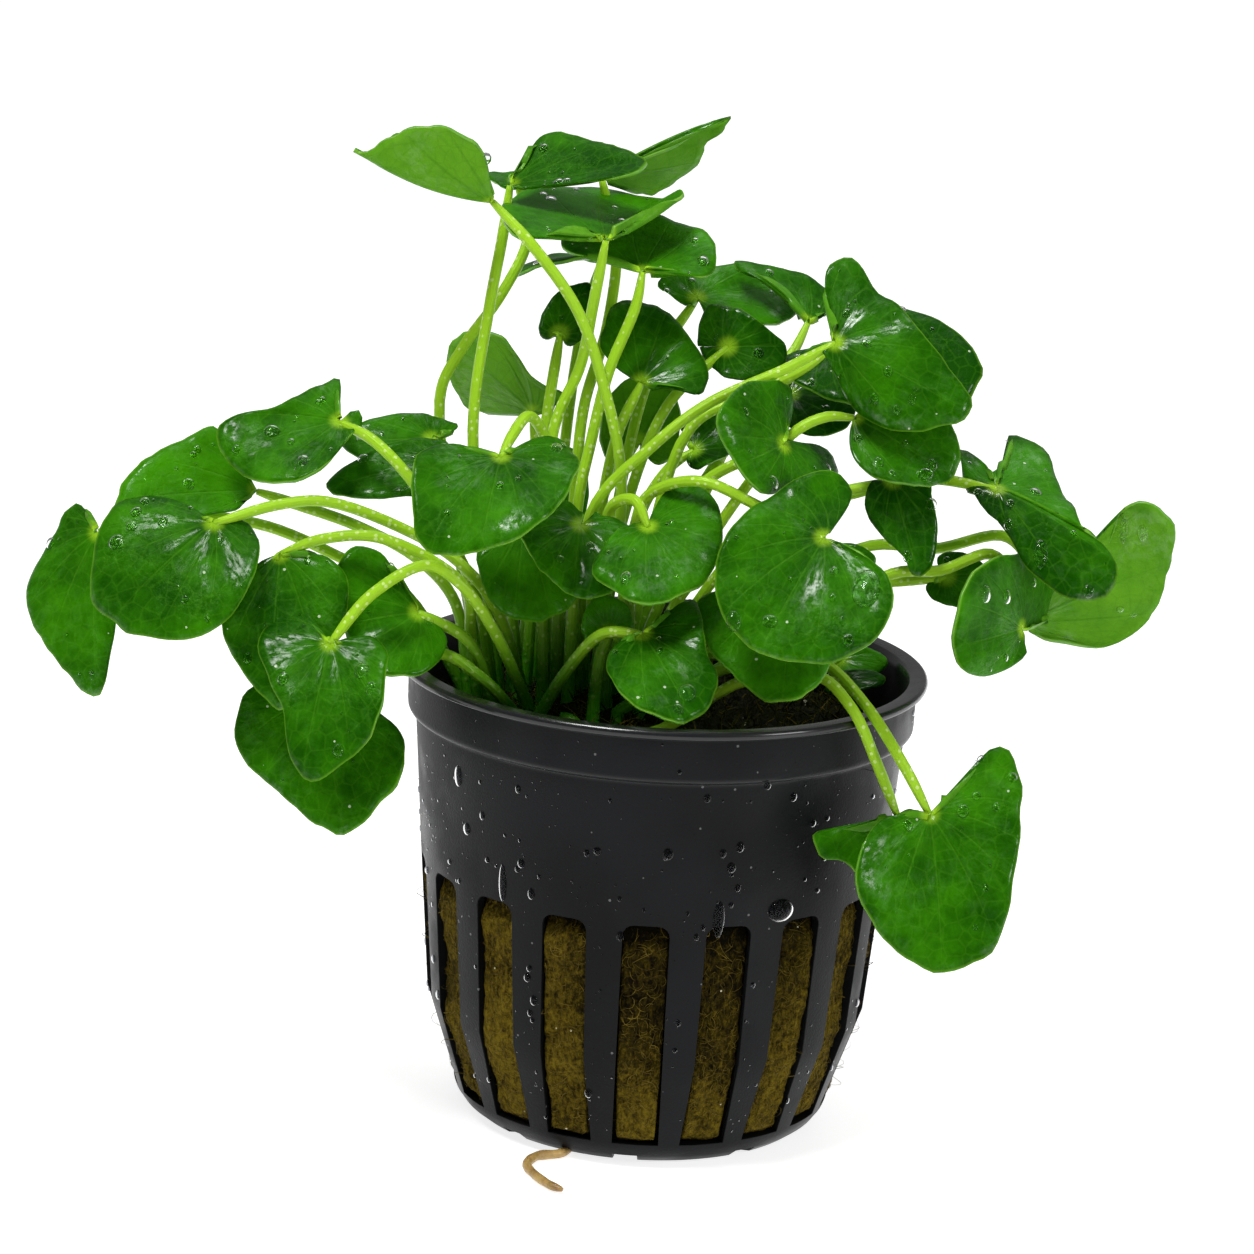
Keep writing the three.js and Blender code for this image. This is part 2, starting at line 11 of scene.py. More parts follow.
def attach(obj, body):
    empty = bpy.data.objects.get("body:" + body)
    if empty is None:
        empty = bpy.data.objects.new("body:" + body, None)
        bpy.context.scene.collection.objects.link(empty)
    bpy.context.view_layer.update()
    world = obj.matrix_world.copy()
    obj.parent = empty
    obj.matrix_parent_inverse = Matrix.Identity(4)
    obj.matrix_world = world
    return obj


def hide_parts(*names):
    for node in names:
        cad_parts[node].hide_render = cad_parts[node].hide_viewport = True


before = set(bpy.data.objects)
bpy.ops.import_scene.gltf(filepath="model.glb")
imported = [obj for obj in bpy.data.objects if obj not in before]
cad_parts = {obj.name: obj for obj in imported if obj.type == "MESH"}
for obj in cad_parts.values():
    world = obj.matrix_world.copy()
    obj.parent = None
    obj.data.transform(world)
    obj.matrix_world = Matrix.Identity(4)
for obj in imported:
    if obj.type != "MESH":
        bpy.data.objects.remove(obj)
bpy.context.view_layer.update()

bl_info = {
    "name": "Potted nymphoides",
    "version": (1, 0, 0),
    "blender": (4, 5, 0),
    "location": "3D View > Sidebar > Nymphoides",
    "description": "Builds a potted nymphoides: net pot, rockwool, moss, root, leaves and water",
    "category": "Add Mesh",
}

MM = 0.001
DOWN = Vector((0, 0, -1))

# Net pot, in millimetres and degrees: rounded profiles as radius and height, walls as height
# and radius, slots and drains, and in metres the heights between which gloss comes and goes
BAND_FOOT = 44.0
BAND_RADIUS = 27.3
FOOT_ROUND = ((17.0, 0.0), (18.6, 0.45), (19.7, 1.3), (20.4, 2.3), (20.6, 2.9))
WALL_HEIGHTS = (5.0, 7.5, 10.0, 13.0, 17.0, 21.0, 25.0, 27.5, 27.95, 28.35, 28.6, 28.7,
                32.0, 36.0, 40.0, 44.2)
BAND_ROUND = ((26.4, 44.4), (26.75, 44.6), (27.1, 44.75), (27.25, 45.0), (BAND_RADIUS, 45.5))
LIP_ROUND = ((27.35, 49.3), (27.6, 49.55), (28.2, 49.6), (28.42, 49.72), (28.5, 50.0),
             (28.42, 50.32), (28.2, 50.5), (27.2, 50.5), (26.6, 50.4), (26.35, 50.1))
OUTER_WALL = ((2.9, 20.6), (13.0, 23.9), (28.7, 25.2), (44.4, 26.4), (50.5, BAND_RADIUS))
INNER_WALL = ((1.3, 18.2), (3.9, 20.1), (12.0, 22.6), (28.7, 24.2), (44.8, 25.4), (50.5, 26.3))
SLOT_COUNT = 18
SLOT_STEP = 360 / SLOT_COUNT
COLUMNS_PER_SLOT = 10
SLOT_WIDTH = 4.9
SLOT_BOTTOM = 2.9
SLOT_TOP = 28.7
SLOT_CORNER = 1.2
SLOT_FIRST_ANGLE = -91.0
SLOT_HALF_ANGLE = 6.15
DRAIN_START = 8.5
DRAIN_END = 1.3
DRAIN_WIDTH = 2.6
DRAIN_TURN = -3.0
FLOOR_TOP = 1.3
SHARP_ANGLE = math.radians(38)
GLOSSY_BAND = (0.0440, 0.0445, 0.0449, 0.0453)
GLOSSY_LIP = (0.0492, 0.0498)

# Filling, in millimetres, but for the wool's damp spot, which is in metres
CLEARANCE = 0.35
WOOL_BOTTOM = 1.65
WOOL_TOP = 39.0
MOSS_BOTTOM = 39.35
MOSS_RIM_HEIGHT = 42.5
MOSS_EDGE_HEIGHT = 43.6
MOSS_CROWN_HEIGHT = 47.6
MOSS_CROWN_PLACE = (-6.0, -6.0)
MOSS_CROWN_SPREAD = 260.0
DAMP_SPOT = (0.0045, -0.0235, 0.023)
ROOT_ROUTE = ((-6.5, -14.6, 0.9), (-8.1, -18.2, 0.6), (-10.6, -19.4, 0.6), (-11.6, -22, 0.6),
              (-10.7, -24.7, 0.6), (-9, -27.4, 0.6), (-7.7, -28.5, 0.6))

# Crown: the stalks stand in rings of 1, 6, 12, 18 and 24 round its middle
CROWN_X = -10.0
CROWN_Y = -3.0
CROWN_STEP = 2.7

# Camera, in millimetres and degrees, and the side of the photograph in pixels
CAMERA_AIM = (-4.12, 0.0, 54.0)
CAMERA_REACH = 450.0
CAMERA_PITCH = 14.28
CAMERA_ROLL = 3.09
CAMERA_SENSOR = 36.0
CAMERA_LENS = 120.25
PHOTO_SIDE = 1254

# How far a seen blade may reach behind and ahead of its junction and to its sides, as
# fractions, the points and waves of a rim, and the meshes of blade and stalk
FARTHEST_LOBE = 0.9
FARTHEST_TIP = 1.2
WIDEST_HALF = 1.35
RIM_STEPS = 120
RIM_WAVES = 0.03
BLADE_COLUMNS = 60
BLADE_ROWS = 14
STALK_SIDES = 10
STALK_STEPS = 36

# How beads of water lie on a blade, in millimetres
BEAD_RIPPLE = 0.35
BEAD_LIFT = 0.2

# Half outline of a blade from the sinus to the tip, as fractions of length and half width, for
# a blade that the photograph shows edge-on or hides
HALF_OUTLINE = ((-0.1, 0.16), (-0.27, 0.36), (-0.3, 0.6), (-0.12, 0.88), (0.24, 1.0),
                (0.66, 0.83), (0.93, 0.4), (1.0, 0.0))

# The leaves, in millimetres and degrees. at: junction of stalk and blade. tip: apex. wide:
# blade width. face: the way the upper side looks. fold: upward fold of the left and right
# half. lobes: reach of the two lobes behind the junction. droop: bend of the midrib. place:
# ring and step in the crown. bends: points that the stalk passes.
LEAVES = (
    dict(name="01", at=(-20.5, -2.5, 99.5), tip=(-35, -6, 104.5), wide=14, face=(0, 0, 1),
         fold=(72, 45), droop=-25, lobes=(0.2, 0.2), place=(1, 0),
         bends=((-5.5, -5, 70.5), (-8, -5.5, 81.5), (-11, -5.5, 89), (-15.5, -5.5, 95))),
    dict(name="02", at=(-19, 5, 100.2), tip=(-5, 2, 104), wide=13, face=(0.1, -0.35, 0.95),
         fold=(20, 0), droop=-10, lobes=(1, 0.2), place=(3, 8),
         bends=((-21.5, -2, 75), (-20.5, 1, 87.5), (-19.5, 4, 95))),
    dict(name="03", at=(-8.5, -2, 96), tip=(-4, 11, 98), wide=19, face=(0, -0.2, 0.98),
         fold=(5, 25), lobes=(1.3, 0.5), droop=5, place=(1, 3),
         bends=((-13, -3, 75.5), (-10.5, -1, 82.5), (-9.5, -1.5, 89))),
    dict(name="04", at=(-9.5, 12, 100.6), tip=(4, 15.5, 107.7), wide=11, face=(-0.2, 0.85, 0.4),
         lobes=(0.5, 0.5), place=(1, 2),
         bends=((-10.5, 0, 67), (-10, 4, 77), (-8, 8.5, 85), (-7.5, 12.5, 93.5))),
    dict(name="05", at=(-4.5, 0.5, 92.5), tip=(-2, 9.5, 96), wide=16.5, face=(0, -0.2, 0.98),
         lobes=(0.6, 0.4), droop=5, place=(0, 0),
         bends=((-10, -4, 68), (-9, -3, 74.5), (-7.5, -1.5, 82), (-5, 0, 89))),
    dict(name="06", at=(-18.5, 14, 99.2), tip=(-21, 17.5, 99.7), wide=5, face=(0, -0.2, 0.98),
         place=(4, 10), bends=((-25.5, 5.5, 77), (-23.5, 6, 82), (-19.5, 8, 88), (-17, 11, 94))),
    dict(name="07", at=(-9, 17, 91), tip=(-18.5, 14, 89.5), wide=9, face=(0, 0.2, 0.98),
         place=(4, 7)),
    dict(name="08", at=(-13, 8, 84), tip=(-10.5, 12.5, 89), wide=5.5, face=(0, -0.5, 0.85),
         lobes=(0.5, 0.5), place=(2, 5), bends=((-14, 2, 74),)),
    dict(name="09", at=(-4, 1, 80.5), tip=(-1, 9, 89), wide=10, face=(0, -0.7, 0.7),
         lobes=(1, 0.5), place=(1, 1)),
    dict(name="10", at=(-15.5, 9, 75), tip=(-25, 13, 81.5), wide=10, face=(-0.3, 0.8, 0.5),
         lobes=(0.6, 0.6), place=(3, 6)),
    dict(name="11", at=(1.5, 12, 88), tip=(12, 17, 88.5), wide=12, face=(0, -0.6, 0.8),
         place=(4, 5)),
    dict(name="12", at=(13.5, 8.5, 86.5), tip=(5.5, 13.5, 92.5), wide=11, face=(0.3, -0.4, 0.85),
         place=(3, 2), bends=((8, 5, 79), (12, 7, 83.5))),
    dict(name="13", at=(5, 3, 84.5), tip=(10.5, 2.5, 85), wide=7.5, face=(0, -0.9, 0.4),
         lobes=(0.3, 0.3), place=(2, 2)),
    dict(name="14", at=(16, -5, 87), tip=(30, -9, 81), wide=17, face=(0.2, -0.85, 0.5),
         fold=(5, -30), lobes=(1.4, 0.3), place=(1, 5),
         bends=((-8.5, -7, 68), (-2.5, -7.5, 75.5), (3, -6, 80), (11, -5, 84))),
    dict(name="15", at=(16.5, 5, 85), tip=(31.5, 2, 81), wide=15, face=(0.3, -0.75, 0.6),
         lobes=(0.3, 1), place=(2, 0), bends=((1.5, -1.5, 76.5), (7.5, -0.5, 80), (13, 2, 82.5))),
    dict(name="16", at=(18.5, -4, 79), tip=(29, -8, 74), wide=12, face=(0.15, -0.9, 0.4),
         lobes=(0.5, 0.3), place=(3, 17),
         bends=((3, -6.5, 63.5), (12, -5, 77), (15.5, -4.5, 79))),
    dict(name="17", at=(23, -4, 72.5), tip=(26, -9, 63), wide=8, face=(0.1, -0.95, 0.3),
         place=(3, 0)),
    dict(name="18", at=(34.1, -3, 71.9), tip=(46.8, -8, 65), wide=18, face=(0.35, -0.55, 0.75),
         fold=(-8, -35), lobes=(1, 1), droop=25, place=(3, 1),
         bends=((10, 0, 66), (20, 1, 70), (27, 0, 72))),
    dict(name="20", at=(39, 4, 56), tip=(54, 2, 64), wide=15, face=(-0.1, 0.97, 0.1),
         place=(4, 1), bends=((20.5, 0.5, 64), (28.5, 2, 64), (36, 3, 65.5), (39.5, 4, 61))),
    dict(name="21", at=(37.5, -5.5, 57.5), tip=(30.5, -14, 57.5), wide=12, face=(0.75, -0.6, 0.2),
         place=(4, 23),
         bends=((23.5, -6.5, 63), (28.5, -6, 63.5), (34, -3.5, 65), (36.5, -2, 62),
                (37, -3.8, 59.3))),
    dict(name="22", at=(29.5, -2.5, 62), tip=(34.5, -3, 60.5), wide=6, face=(0, -0.9, 0.4),
         place=(4, 0)),
    dict(name="23", at=(17.5, -8.5, 63.5), tip=(21.5, -9.5, 64.5), wide=5.5, face=(0, -0.9, 0.4),
         place=(4, 22)),
    dict(name="24", at=(15.5, -18, 69), tip=(9.5, -26, 59), wide=19, face=(-0.1, -0.85, 0.5),
         lobes=(0.6, 1.9), place=(3, 16),
         bends=((-3.5, -8.5, 69), (-1.5, -9.5, 71.5), (3, -12, 73), (8, -13, 71.3),
                (12, -15, 69.8))),
    dict(name="25", at=(12, -13, 61.5), tip=(7.5, -21, 53), wide=15, face=(-0.1, -0.85, 0.5),
         place=(4, 21), bends=((-0.5, -10.5, 53), (5, -11.5, 59.5))),
    dict(name="26", at=(-2.5, -18.5, 58), tip=(3, -27, 51.5), wide=12.5, face=(0.1, -0.8, 0.6),
         place=(4, 17), bends=((-10, -15, 53), (-6.5, -17, 57.5))),
    dict(name="27", at=(-6, -13.5, 56.5), tip=(-6.5, -12.5, 60.5), wide=5.5, face=(0, -0.9, 0.4),
         place=(4, 19)),
    dict(name="28", at=(-2.5, -13, 68), tip=(2, -21, 62.5), wide=14.5, face=(0.05, -0.7, 0.7),
         lobes=(0.8, 0.5), place=(3, 15),
         bends=((-6.5, -8.5, 60), (-6.5, -9, 69), (-4, -11.5, 70.5))),
    dict(name="29", at=(-9.5, -11.5, 67.5), tip=(-10, -18.5, 60), wide=12.5,
         face=(0, -0.75, 0.65), lobes=(0.4, 0.4), place=(2, 9)),
    dict(name="30", at=(-15.5, -8, 66), tip=(-16, -13, 57.5), wide=9.5, face=(0, -0.8, 0.6),
         place=(2, 8)),
    dict(name="31", at=(-18, -15, 75), tip=(-19.5, -25, 67), wide=17.5, face=(0, -0.75, 0.66),
         droop=25, place=(1, 4),
         bends=((-12, -5, 66), (-13.5, -6.5, 75), (-15.5, -10, 78.5), (-17, -13, 77))),
    dict(name="32", at=(-47.5, -13, 66), tip=(-57, -17.5, 56.5), wide=17,
         face=(-0.15, -0.85, 0.5), fold=(5, -10), droop=34, place=(2, 7),
         bends=((-18, -8.5, 57.5), (-22, -10, 62.5), (-27, -10.5, 65.5), (-36, -11, 68.5),
                (-41, -11.5, 68))),
    dict(name="33", at=(-60.5, -5, 62.5), tip=(-59.5, -11, 46), wide=15.5,
         face=(-0.35, -0.9, 0.3), fold=(-20, 0), place=(4, 12),
         bends=((-28, -3, 57.2), (-35, -3, 60.7), (-43.5, -3, 63.8), (-53, -3.5, 64.3))),
    dict(name="34", at=(-44, -3.5, 67.5), tip=(-59, -8.5, 66.5), wide=14, face=(0, -0.8, 0.6),
         lobes=(0.2, 1), place=(4, 13),
         bends=((-22.5, -5, 57), (-26.5, -5.5, 61.5), (-33, -4.5, 64.5), (-40, -4, 66.5))),
    dict(name="35", at=(-35.5, -4, 75.5), tip=(-48.5, -8, 71.5), wide=13,
         face=(-0.05, -0.65, 0.75), lobes=(0.7, 1.5), place=(3, 9),
         bends=((-20, -5, 57), (-23.5, -8, 65), (-28, -9, 71.5), (-32, -6.5, 74.5))),
    dict(name="36", at=(-26, 1.5, 73), tip=(-35.5, 0.5, 72), wide=7, face=(0, -0.6, 0.8),
         place=(3, 7)),
    dict(name="37", at=(-24.5, -3, 71.5), tip=(-36, -4, 68.5), wide=7, face=(0, -0.7, 0.7),
         lobes=(0.3, 0.3), place=(2, 6), bends=((-17, -4, 58), (-21.5, -4.5, 67))),
    dict(name="38", at=(-40.5, -12.5, 63), tip=(-40.5, -19, 49.5), wide=12,
         face=(-0.1, -0.85, 0.5), place=(4, 14),
         bends=((-20.5, -8.5, 54), (-21.5, -13, 61), (-30, -13.5, 65.5), (-36, -13, 65))),
    dict(name="39", at=(-34.5, -19.5, 55.5), tip=(-36.5, -27, 43), wide=13,
         face=(-0.05, -0.9, 0.4), fold=(10, -12), lobes=(1, 0.5), place=(3, 12),
         bends=((-18, -14, 56.5), (-21.5, -15.5, 61.5), (-25, -16, 63.5), (-30.5, -17.5, 60.5))),
    dict(name="41", at=(-35.5, -12, 47.5), tip=(-32.5, -19, 35), wide=18, face=(-0.1, -0.85, 0.5),
         place=(4, 16), bends=((-18.5, -14.5, 51), (-23.5, -11.5, 53), (-30, -11.5, 51.5))),
    dict(name="42", at=(-26, -12.5, 57.5), tip=(-33, -14.5, 56.5), wide=14,
         face=(-0.1, -0.85, 0.5), place=(4, 15), bends=((-20.5, -12, 54.5),)),
    dict(name="43", at=(28, -22, 41.5), tip=(30, -29, 26.5), wide=17.5, face=(0.2, -0.9, 0.35),
         fold=(15, 5), lobes=(2.2, 0.5), place=(4, 20),
         bends=((-2, -13.5, 50), (5, -13.5, 53), (12, -13, 55), (16.4, -13.8, 54.8),
                (20.9, -19, 51.9), (25.2, -22, 46.3))),
    dict(name="44", at=(25, -18, 40), tip=(26.5, -20, 26.5), wide=15, face=(0.4, -0.85, 0.35),
         lobes=(1, 0.6), place=(4, 18),
         bends=((-7.5, -14.8, 46.2), (-1, -16, 46.8), (8, -16.5, 53), (15.6, -17, 54.3),
                (19.4, -20.5, 51.9), (22.4, -19.9, 46))),
    dict(name="45", at=(19.5, 8, 49.5), tip=(24.5, 7, 49.5), wide=4, face=(0, -0.7, 0.7), droop=5,
         place=(4, 3), bends=((2, 5.5, 51.5), (12, 7, 51.5))),
    dict(name="46", at=(19, 2, 48.5), tip=(24, 1, 49.5), wide=3, face=(0, -0.7, 0.7), droop=5,
         place=(4, 2), bends=((3, 2.5, 50.5), (12, 2.5, 50))),
    dict(name="47", at=(11, -8, 76.5), tip=(5.5, -14.5, 75), wide=11.5, face=(0.68, -0.57, 0.46),
         lobes=(1.4, 1.4), place=(2, 11)),
    dict(name="48", at=(2, 1, 73.5), tip=(8, 1, 74), wide=8, face=(0, -0.7, 0.7), place=(2, 1),
         bends=((-3.5, 0, 66), (-0.5, 1, 71.5))),
    dict(name="49", at=(12, 6, 79), tip=(18.5, 3.5, 76.5), wide=8, face=(0, -0.7, 0.7),
         place=(4, 4), bends=((3, 8, 68), (8.5, 8, 76))),
    dict(name="52", at=(-4, 11.5, 72), tip=(-3.5, 14.5, 79), wide=9, face=(0, 0.9, 0.4),
         place=(4, 6)),
    dict(name="53", at=(-13.5, 12.5, 62), tip=(-12, 14, 71), wide=8, face=(0, -0.9, 0.4),
         place=(4, 8)),
)

# Rims of blades as the photograph shows them, in its pixels, from one side of the sinus round
# the tip to the other, and guessed where another leaf hides them
SEEN_RIMS = {
    "01": ((494, 192), (490, 178), (488, 163), (484, 146), (476, 132), (462, 125), (445, 123),
           (425, 127), (410, 130), (395, 139), (380, 146), (366, 154), (351, 151)),
    "02": ((512, 181), (521, 171), (530, 158), (537, 145), (547, 136), (570, 133), (595, 136),
           (618, 145), (636, 153), (645, 158), (637, 170), (615, 178), (593, 182), (570, 185),
           (551, 187), (530, 189), (514, 190)),
    "03": ((600, 240), (585, 236), (570, 236), (555, 239), (543, 241), (530, 241),
           (515, 240), (505, 230), (500, 215), (502, 195), (512, 184), (530, 181), (560, 184),
           (590, 184), (620, 182), (640, 192), (660, 200), (681, 205), (655, 217), (630, 229),
           (612, 238)),
    "04": ((612, 178), (625, 165), (646, 154), (679, 141), (702, 128), (723, 118), (730, 114),
           (717, 133), (704, 143), (703, 150), (697, 163), (683, 177), (668, 188), (651, 196),
           (630, 190), (612, 184)),
    "05": ((632, 269), (612, 263), (596, 260), (580, 258), (567, 252),
           (561, 240), (562, 230), (575, 221), (595, 218), (620, 216), (645, 215), (665, 218),
           (680, 223), (695, 230), (708, 237), (716, 248), (716, 260), (708, 270), (697, 275),
           (680, 275), (665, 271), (651, 271)),
    "09": ((633, 380), (618, 370), (604, 355), (600, 345), (604, 325), (612, 305), (625, 297),
           (645, 300), (660, 307), (675, 320), (690, 340), (705, 360), (717, 378), (717, 388),
           (710, 392), (697, 395), (680, 391), (665, 389), (652, 391)),
    "10": ((527, 410), (518, 404), (508, 402), (495, 405), (485, 411), (475, 412), (465, 408),
           (458, 395), (450, 380), (447, 362), (450, 348), (460, 335), (475, 331), (490, 331),
           (503, 335), (512, 347), (524, 362), (537, 378), (548, 388), (560, 395), (558, 404),
           (545, 408), (538, 414)),
    "11": ((692, 309), (690, 305), (672, 298), (657, 287), (668, 276), (695, 267), (716, 263),
           (735, 263), (750, 266), (764, 275), (778, 287), (797, 308), (782, 321), (764, 324),
           (735, 319), (705, 314)),
    "12": ((816, 318), (832, 314), (836, 301), (824, 287), (801, 276), (769, 266), (736, 256),
           (741, 266), (764, 276), (782, 289), (794, 305), (801, 316)),
    "13": ((700, 347), (699, 332), (703, 315), (708, 305), (718, 304), (741, 309), (764, 326),
           (787, 346), (787, 360), (765, 375), (732, 380), (716, 371), (704, 360), (701, 348)),
    "14": ((833, 335), (835, 325), (830, 312), (826, 289), (830, 270), (847, 259), (858, 265),
           (876, 289), (897, 301), (911, 319), (927, 342), (948, 367), (961, 385), (971, 401),
           (966, 415), (958, 424), (936, 429), (911, 432), (888, 429), (865, 417), (847, 397),
           (833, 371), (821, 353), (821, 345)),
    "16": ((852, 424), (849, 435), (851, 452), (860, 468), (881, 481), (909, 485), (934, 485),
           (950, 479), (960, 461), (958, 440), (950, 420), (930, 410), (905, 406), (880, 407),
           (862, 411)),
    "17": ((872, 482), (866, 492), (865, 503), (870, 516), (883, 537), (904, 559), (910, 573),
           (920, 577), (932, 565), (937, 545), (937, 520), (932, 498), (930, 484), (915, 476),
           (897, 474)),
    "18": ((993, 481), (984, 466), (961, 451), (962, 470), (968, 490), (980, 507), (1003, 524),
           (1016, 544), (1025, 562), (1041, 577), (1063, 593), (1090, 601), (1108, 597),
           (1113, 585), (1111, 562), (1097, 545), (1083, 537), (1072, 506), (1059, 478),
           (1045, 450), (1032, 432), (1018, 427), (1011, 447), (1002, 463), (992, 475)),
    "20": ((1030, 632), (1038, 637), (1063, 642), (1097, 647), (1121, 641), (1144, 626),
           (1159, 600), (1171, 564), (1176, 535), (1170, 517), (1159, 504), (1141, 499),
           (1128, 503), (1120, 511), (1114, 528), (1109, 546), (1102, 570), (1086, 594),
           (1063, 606), (1040, 615), (1029, 620)),
    "21": ((1024, 638), (1019, 658), (1005, 671), (985, 677), (967, 670), (956, 653), (955, 624),
           (958, 600), (967, 582), (985, 560), (1016, 551), (1045, 560), (1066, 578), (1071, 595),
           (1060, 608), (1045, 618), (1030, 626)),
    "24": ((830, 533), (841, 518), (850, 503), (852, 489), (841, 478), (822, 477), (795, 483),
           (765, 497), (740, 518), (724, 541), (716, 567), (714, 590), (724, 615), (740, 638),
           (765, 653), (795, 660), (827, 663), (852, 654), (875, 638), (889, 619), (893, 601),
           (887, 580), (868, 564), (850, 553), (831, 540)),
    "25": ((752, 596), (725, 588), (705, 592), (694, 605), (693, 621), (703, 642), (726, 668),
           (747, 691), (772, 704), (795, 702), (815, 686), (829, 665), (835, 640), (825, 615),
           (803, 603), (790, 598)),
    "26": ((633, 640), (615, 647), (607, 660), (609, 676), (630, 703), (664, 720), (680, 723),
           (700, 714), (714, 693), (717, 671), (708, 654), (703, 625), (693, 599), (677, 608),
           (654, 628)),
    "28": ((640, 524), (634, 526), (608, 541), (593, 560), (592, 573), (608, 582), (628, 599),
           (651, 606), (680, 599), (704, 584), (714, 571), (721, 541), (718, 504), (704, 493),
           (686, 492), (667, 500), (651, 516)),
    "29": ((583, 514), (566, 503), (542, 505), (523, 518), (519, 534), (534, 560), (552, 580),
           (571, 595), (591, 598), (612, 591), (630, 570), (637, 545), (632, 526), (615, 516),
           (596, 514)),
    "30": ((510, 522), (489, 535), (477, 552), (480, 578), (491, 602), (508, 617), (530, 623),
           (552, 619), (572, 604), (580, 585), (572, 552), (552, 530), (532, 523)),
    "31": ((496, 454), (487, 453), (471, 451), (454, 444), (437, 444), (419, 458), (412, 482),
           (413, 519), (419, 541), (443, 552), (471, 552), (504, 543), (539, 524), (563, 500),
           (576, 476), (577, 456), (567, 441), (550, 437), (530, 442), (510, 454)),
    "32": ((204, 518), (198, 510), (188, 502), (167, 493), (142, 492), (118, 502), (103, 523),
           (94, 554), (91, 584), (94, 607), (110, 616), (120, 628), (133, 633), (158, 639),
           (182, 642), (210, 630), (234, 609), (250, 584), (259, 554), (256, 529), (245, 517),
           (225, 517)),
    "33": ((96, 528), (91, 518), (85, 508), (78, 504), (70, 510), (54, 532), (35, 560), (28, 584),
           (32, 615), (47, 645), (69, 673), (84, 694), (96, 697), (102, 688), (109, 655),
           (115, 624), (116, 590), (112, 560), (104, 540)),
    "34": ((253, 484), (241, 463), (228, 440), (214, 424), (191, 434), (158, 450), (133, 468),
           (118, 492), (114, 511), (130, 522), (160, 525), (190, 520), (215, 515), (237, 510),
           (247, 500)),
    "35": ((341, 413), (337, 401), (341, 382), (338, 378), (323, 384), (305, 391), (292, 401),
           (274, 410), (246, 414), (226, 421), (216, 433), (219, 446), (228, 460), (244, 472),
           (262, 479), (285, 481), (305, 479), (329, 465), (347, 443), (361, 428), (361, 417),
           (351, 413)),
    "38": ((280, 557), (262, 560), (243, 578), (228, 600), (222, 624), (231, 652), (250, 682),
           (280, 710), (305, 703), (325, 675), (338, 640), (346, 615), (349, 590), (344, 572),
           (326, 557), (305, 555), (294, 556)),
    "39": ((322, 632), (313, 620), (303, 606), (297, 602), (287, 608), (274, 618), (262, 633),
           (259, 652), (268, 679), (283, 710), (285, 737), (292, 765), (305, 779), (320, 779),
           (341, 765), (366, 743), (378, 719), (384, 691), (387, 667), (387, 652), (375, 637),
           (355, 636), (338, 642)),
    "41": ((308, 690), (282, 682), (254, 690), (238, 714), (236, 740), (246, 762), (274, 789),
           (295, 808), (320, 826), (341, 835), (354, 829), (378, 808), (400, 780), (406, 753),
           (400, 731), (381, 713), (355, 697), (332, 690)),
    "42": ((416, 602), (395, 578), (384, 557), (366, 547), (348, 550), (338, 565), (336, 595),
           (343, 630), (358, 660), (382, 676), (409, 677), (430, 670), (444, 652), (445, 633),
           (434, 617)),
    "43": ((926, 817), (907, 815), (883, 819), (863, 843), (855, 875), (859, 899), (883, 935),
           (907, 959), (939, 972), (971, 965), (995, 947), (1009, 907), (1015, 867), (1021, 787),
           (1017, 759), (1003, 747), (987, 751), (971, 775), (952, 797), (937, 808)),
    "44": ((888, 822), (862, 831), (827, 829), (813, 835), (812, 849), (825, 859), (843, 861),
           (856, 876), (864, 900), (880, 925), (905, 940), (932, 935), (948, 905), (953, 870),
           (948, 838), (928, 818), (908, 812)),
    "47": ((786, 430), (791, 412), (787, 394), (775, 384), (762, 381), (749, 381), (732, 394),
           (719, 413), (720, 431), (729, 450), (739, 470), (750, 486), (764, 495), (787, 489),
           (810, 479), (837, 475), (833, 463), (819, 450), (801, 443), (788, 438)),
    "48": ((689, 437), (680, 428), (692, 413), (718, 399), (730, 415), (732, 448), (719, 460),
           (698, 469), (687, 463), (689, 449)),
}

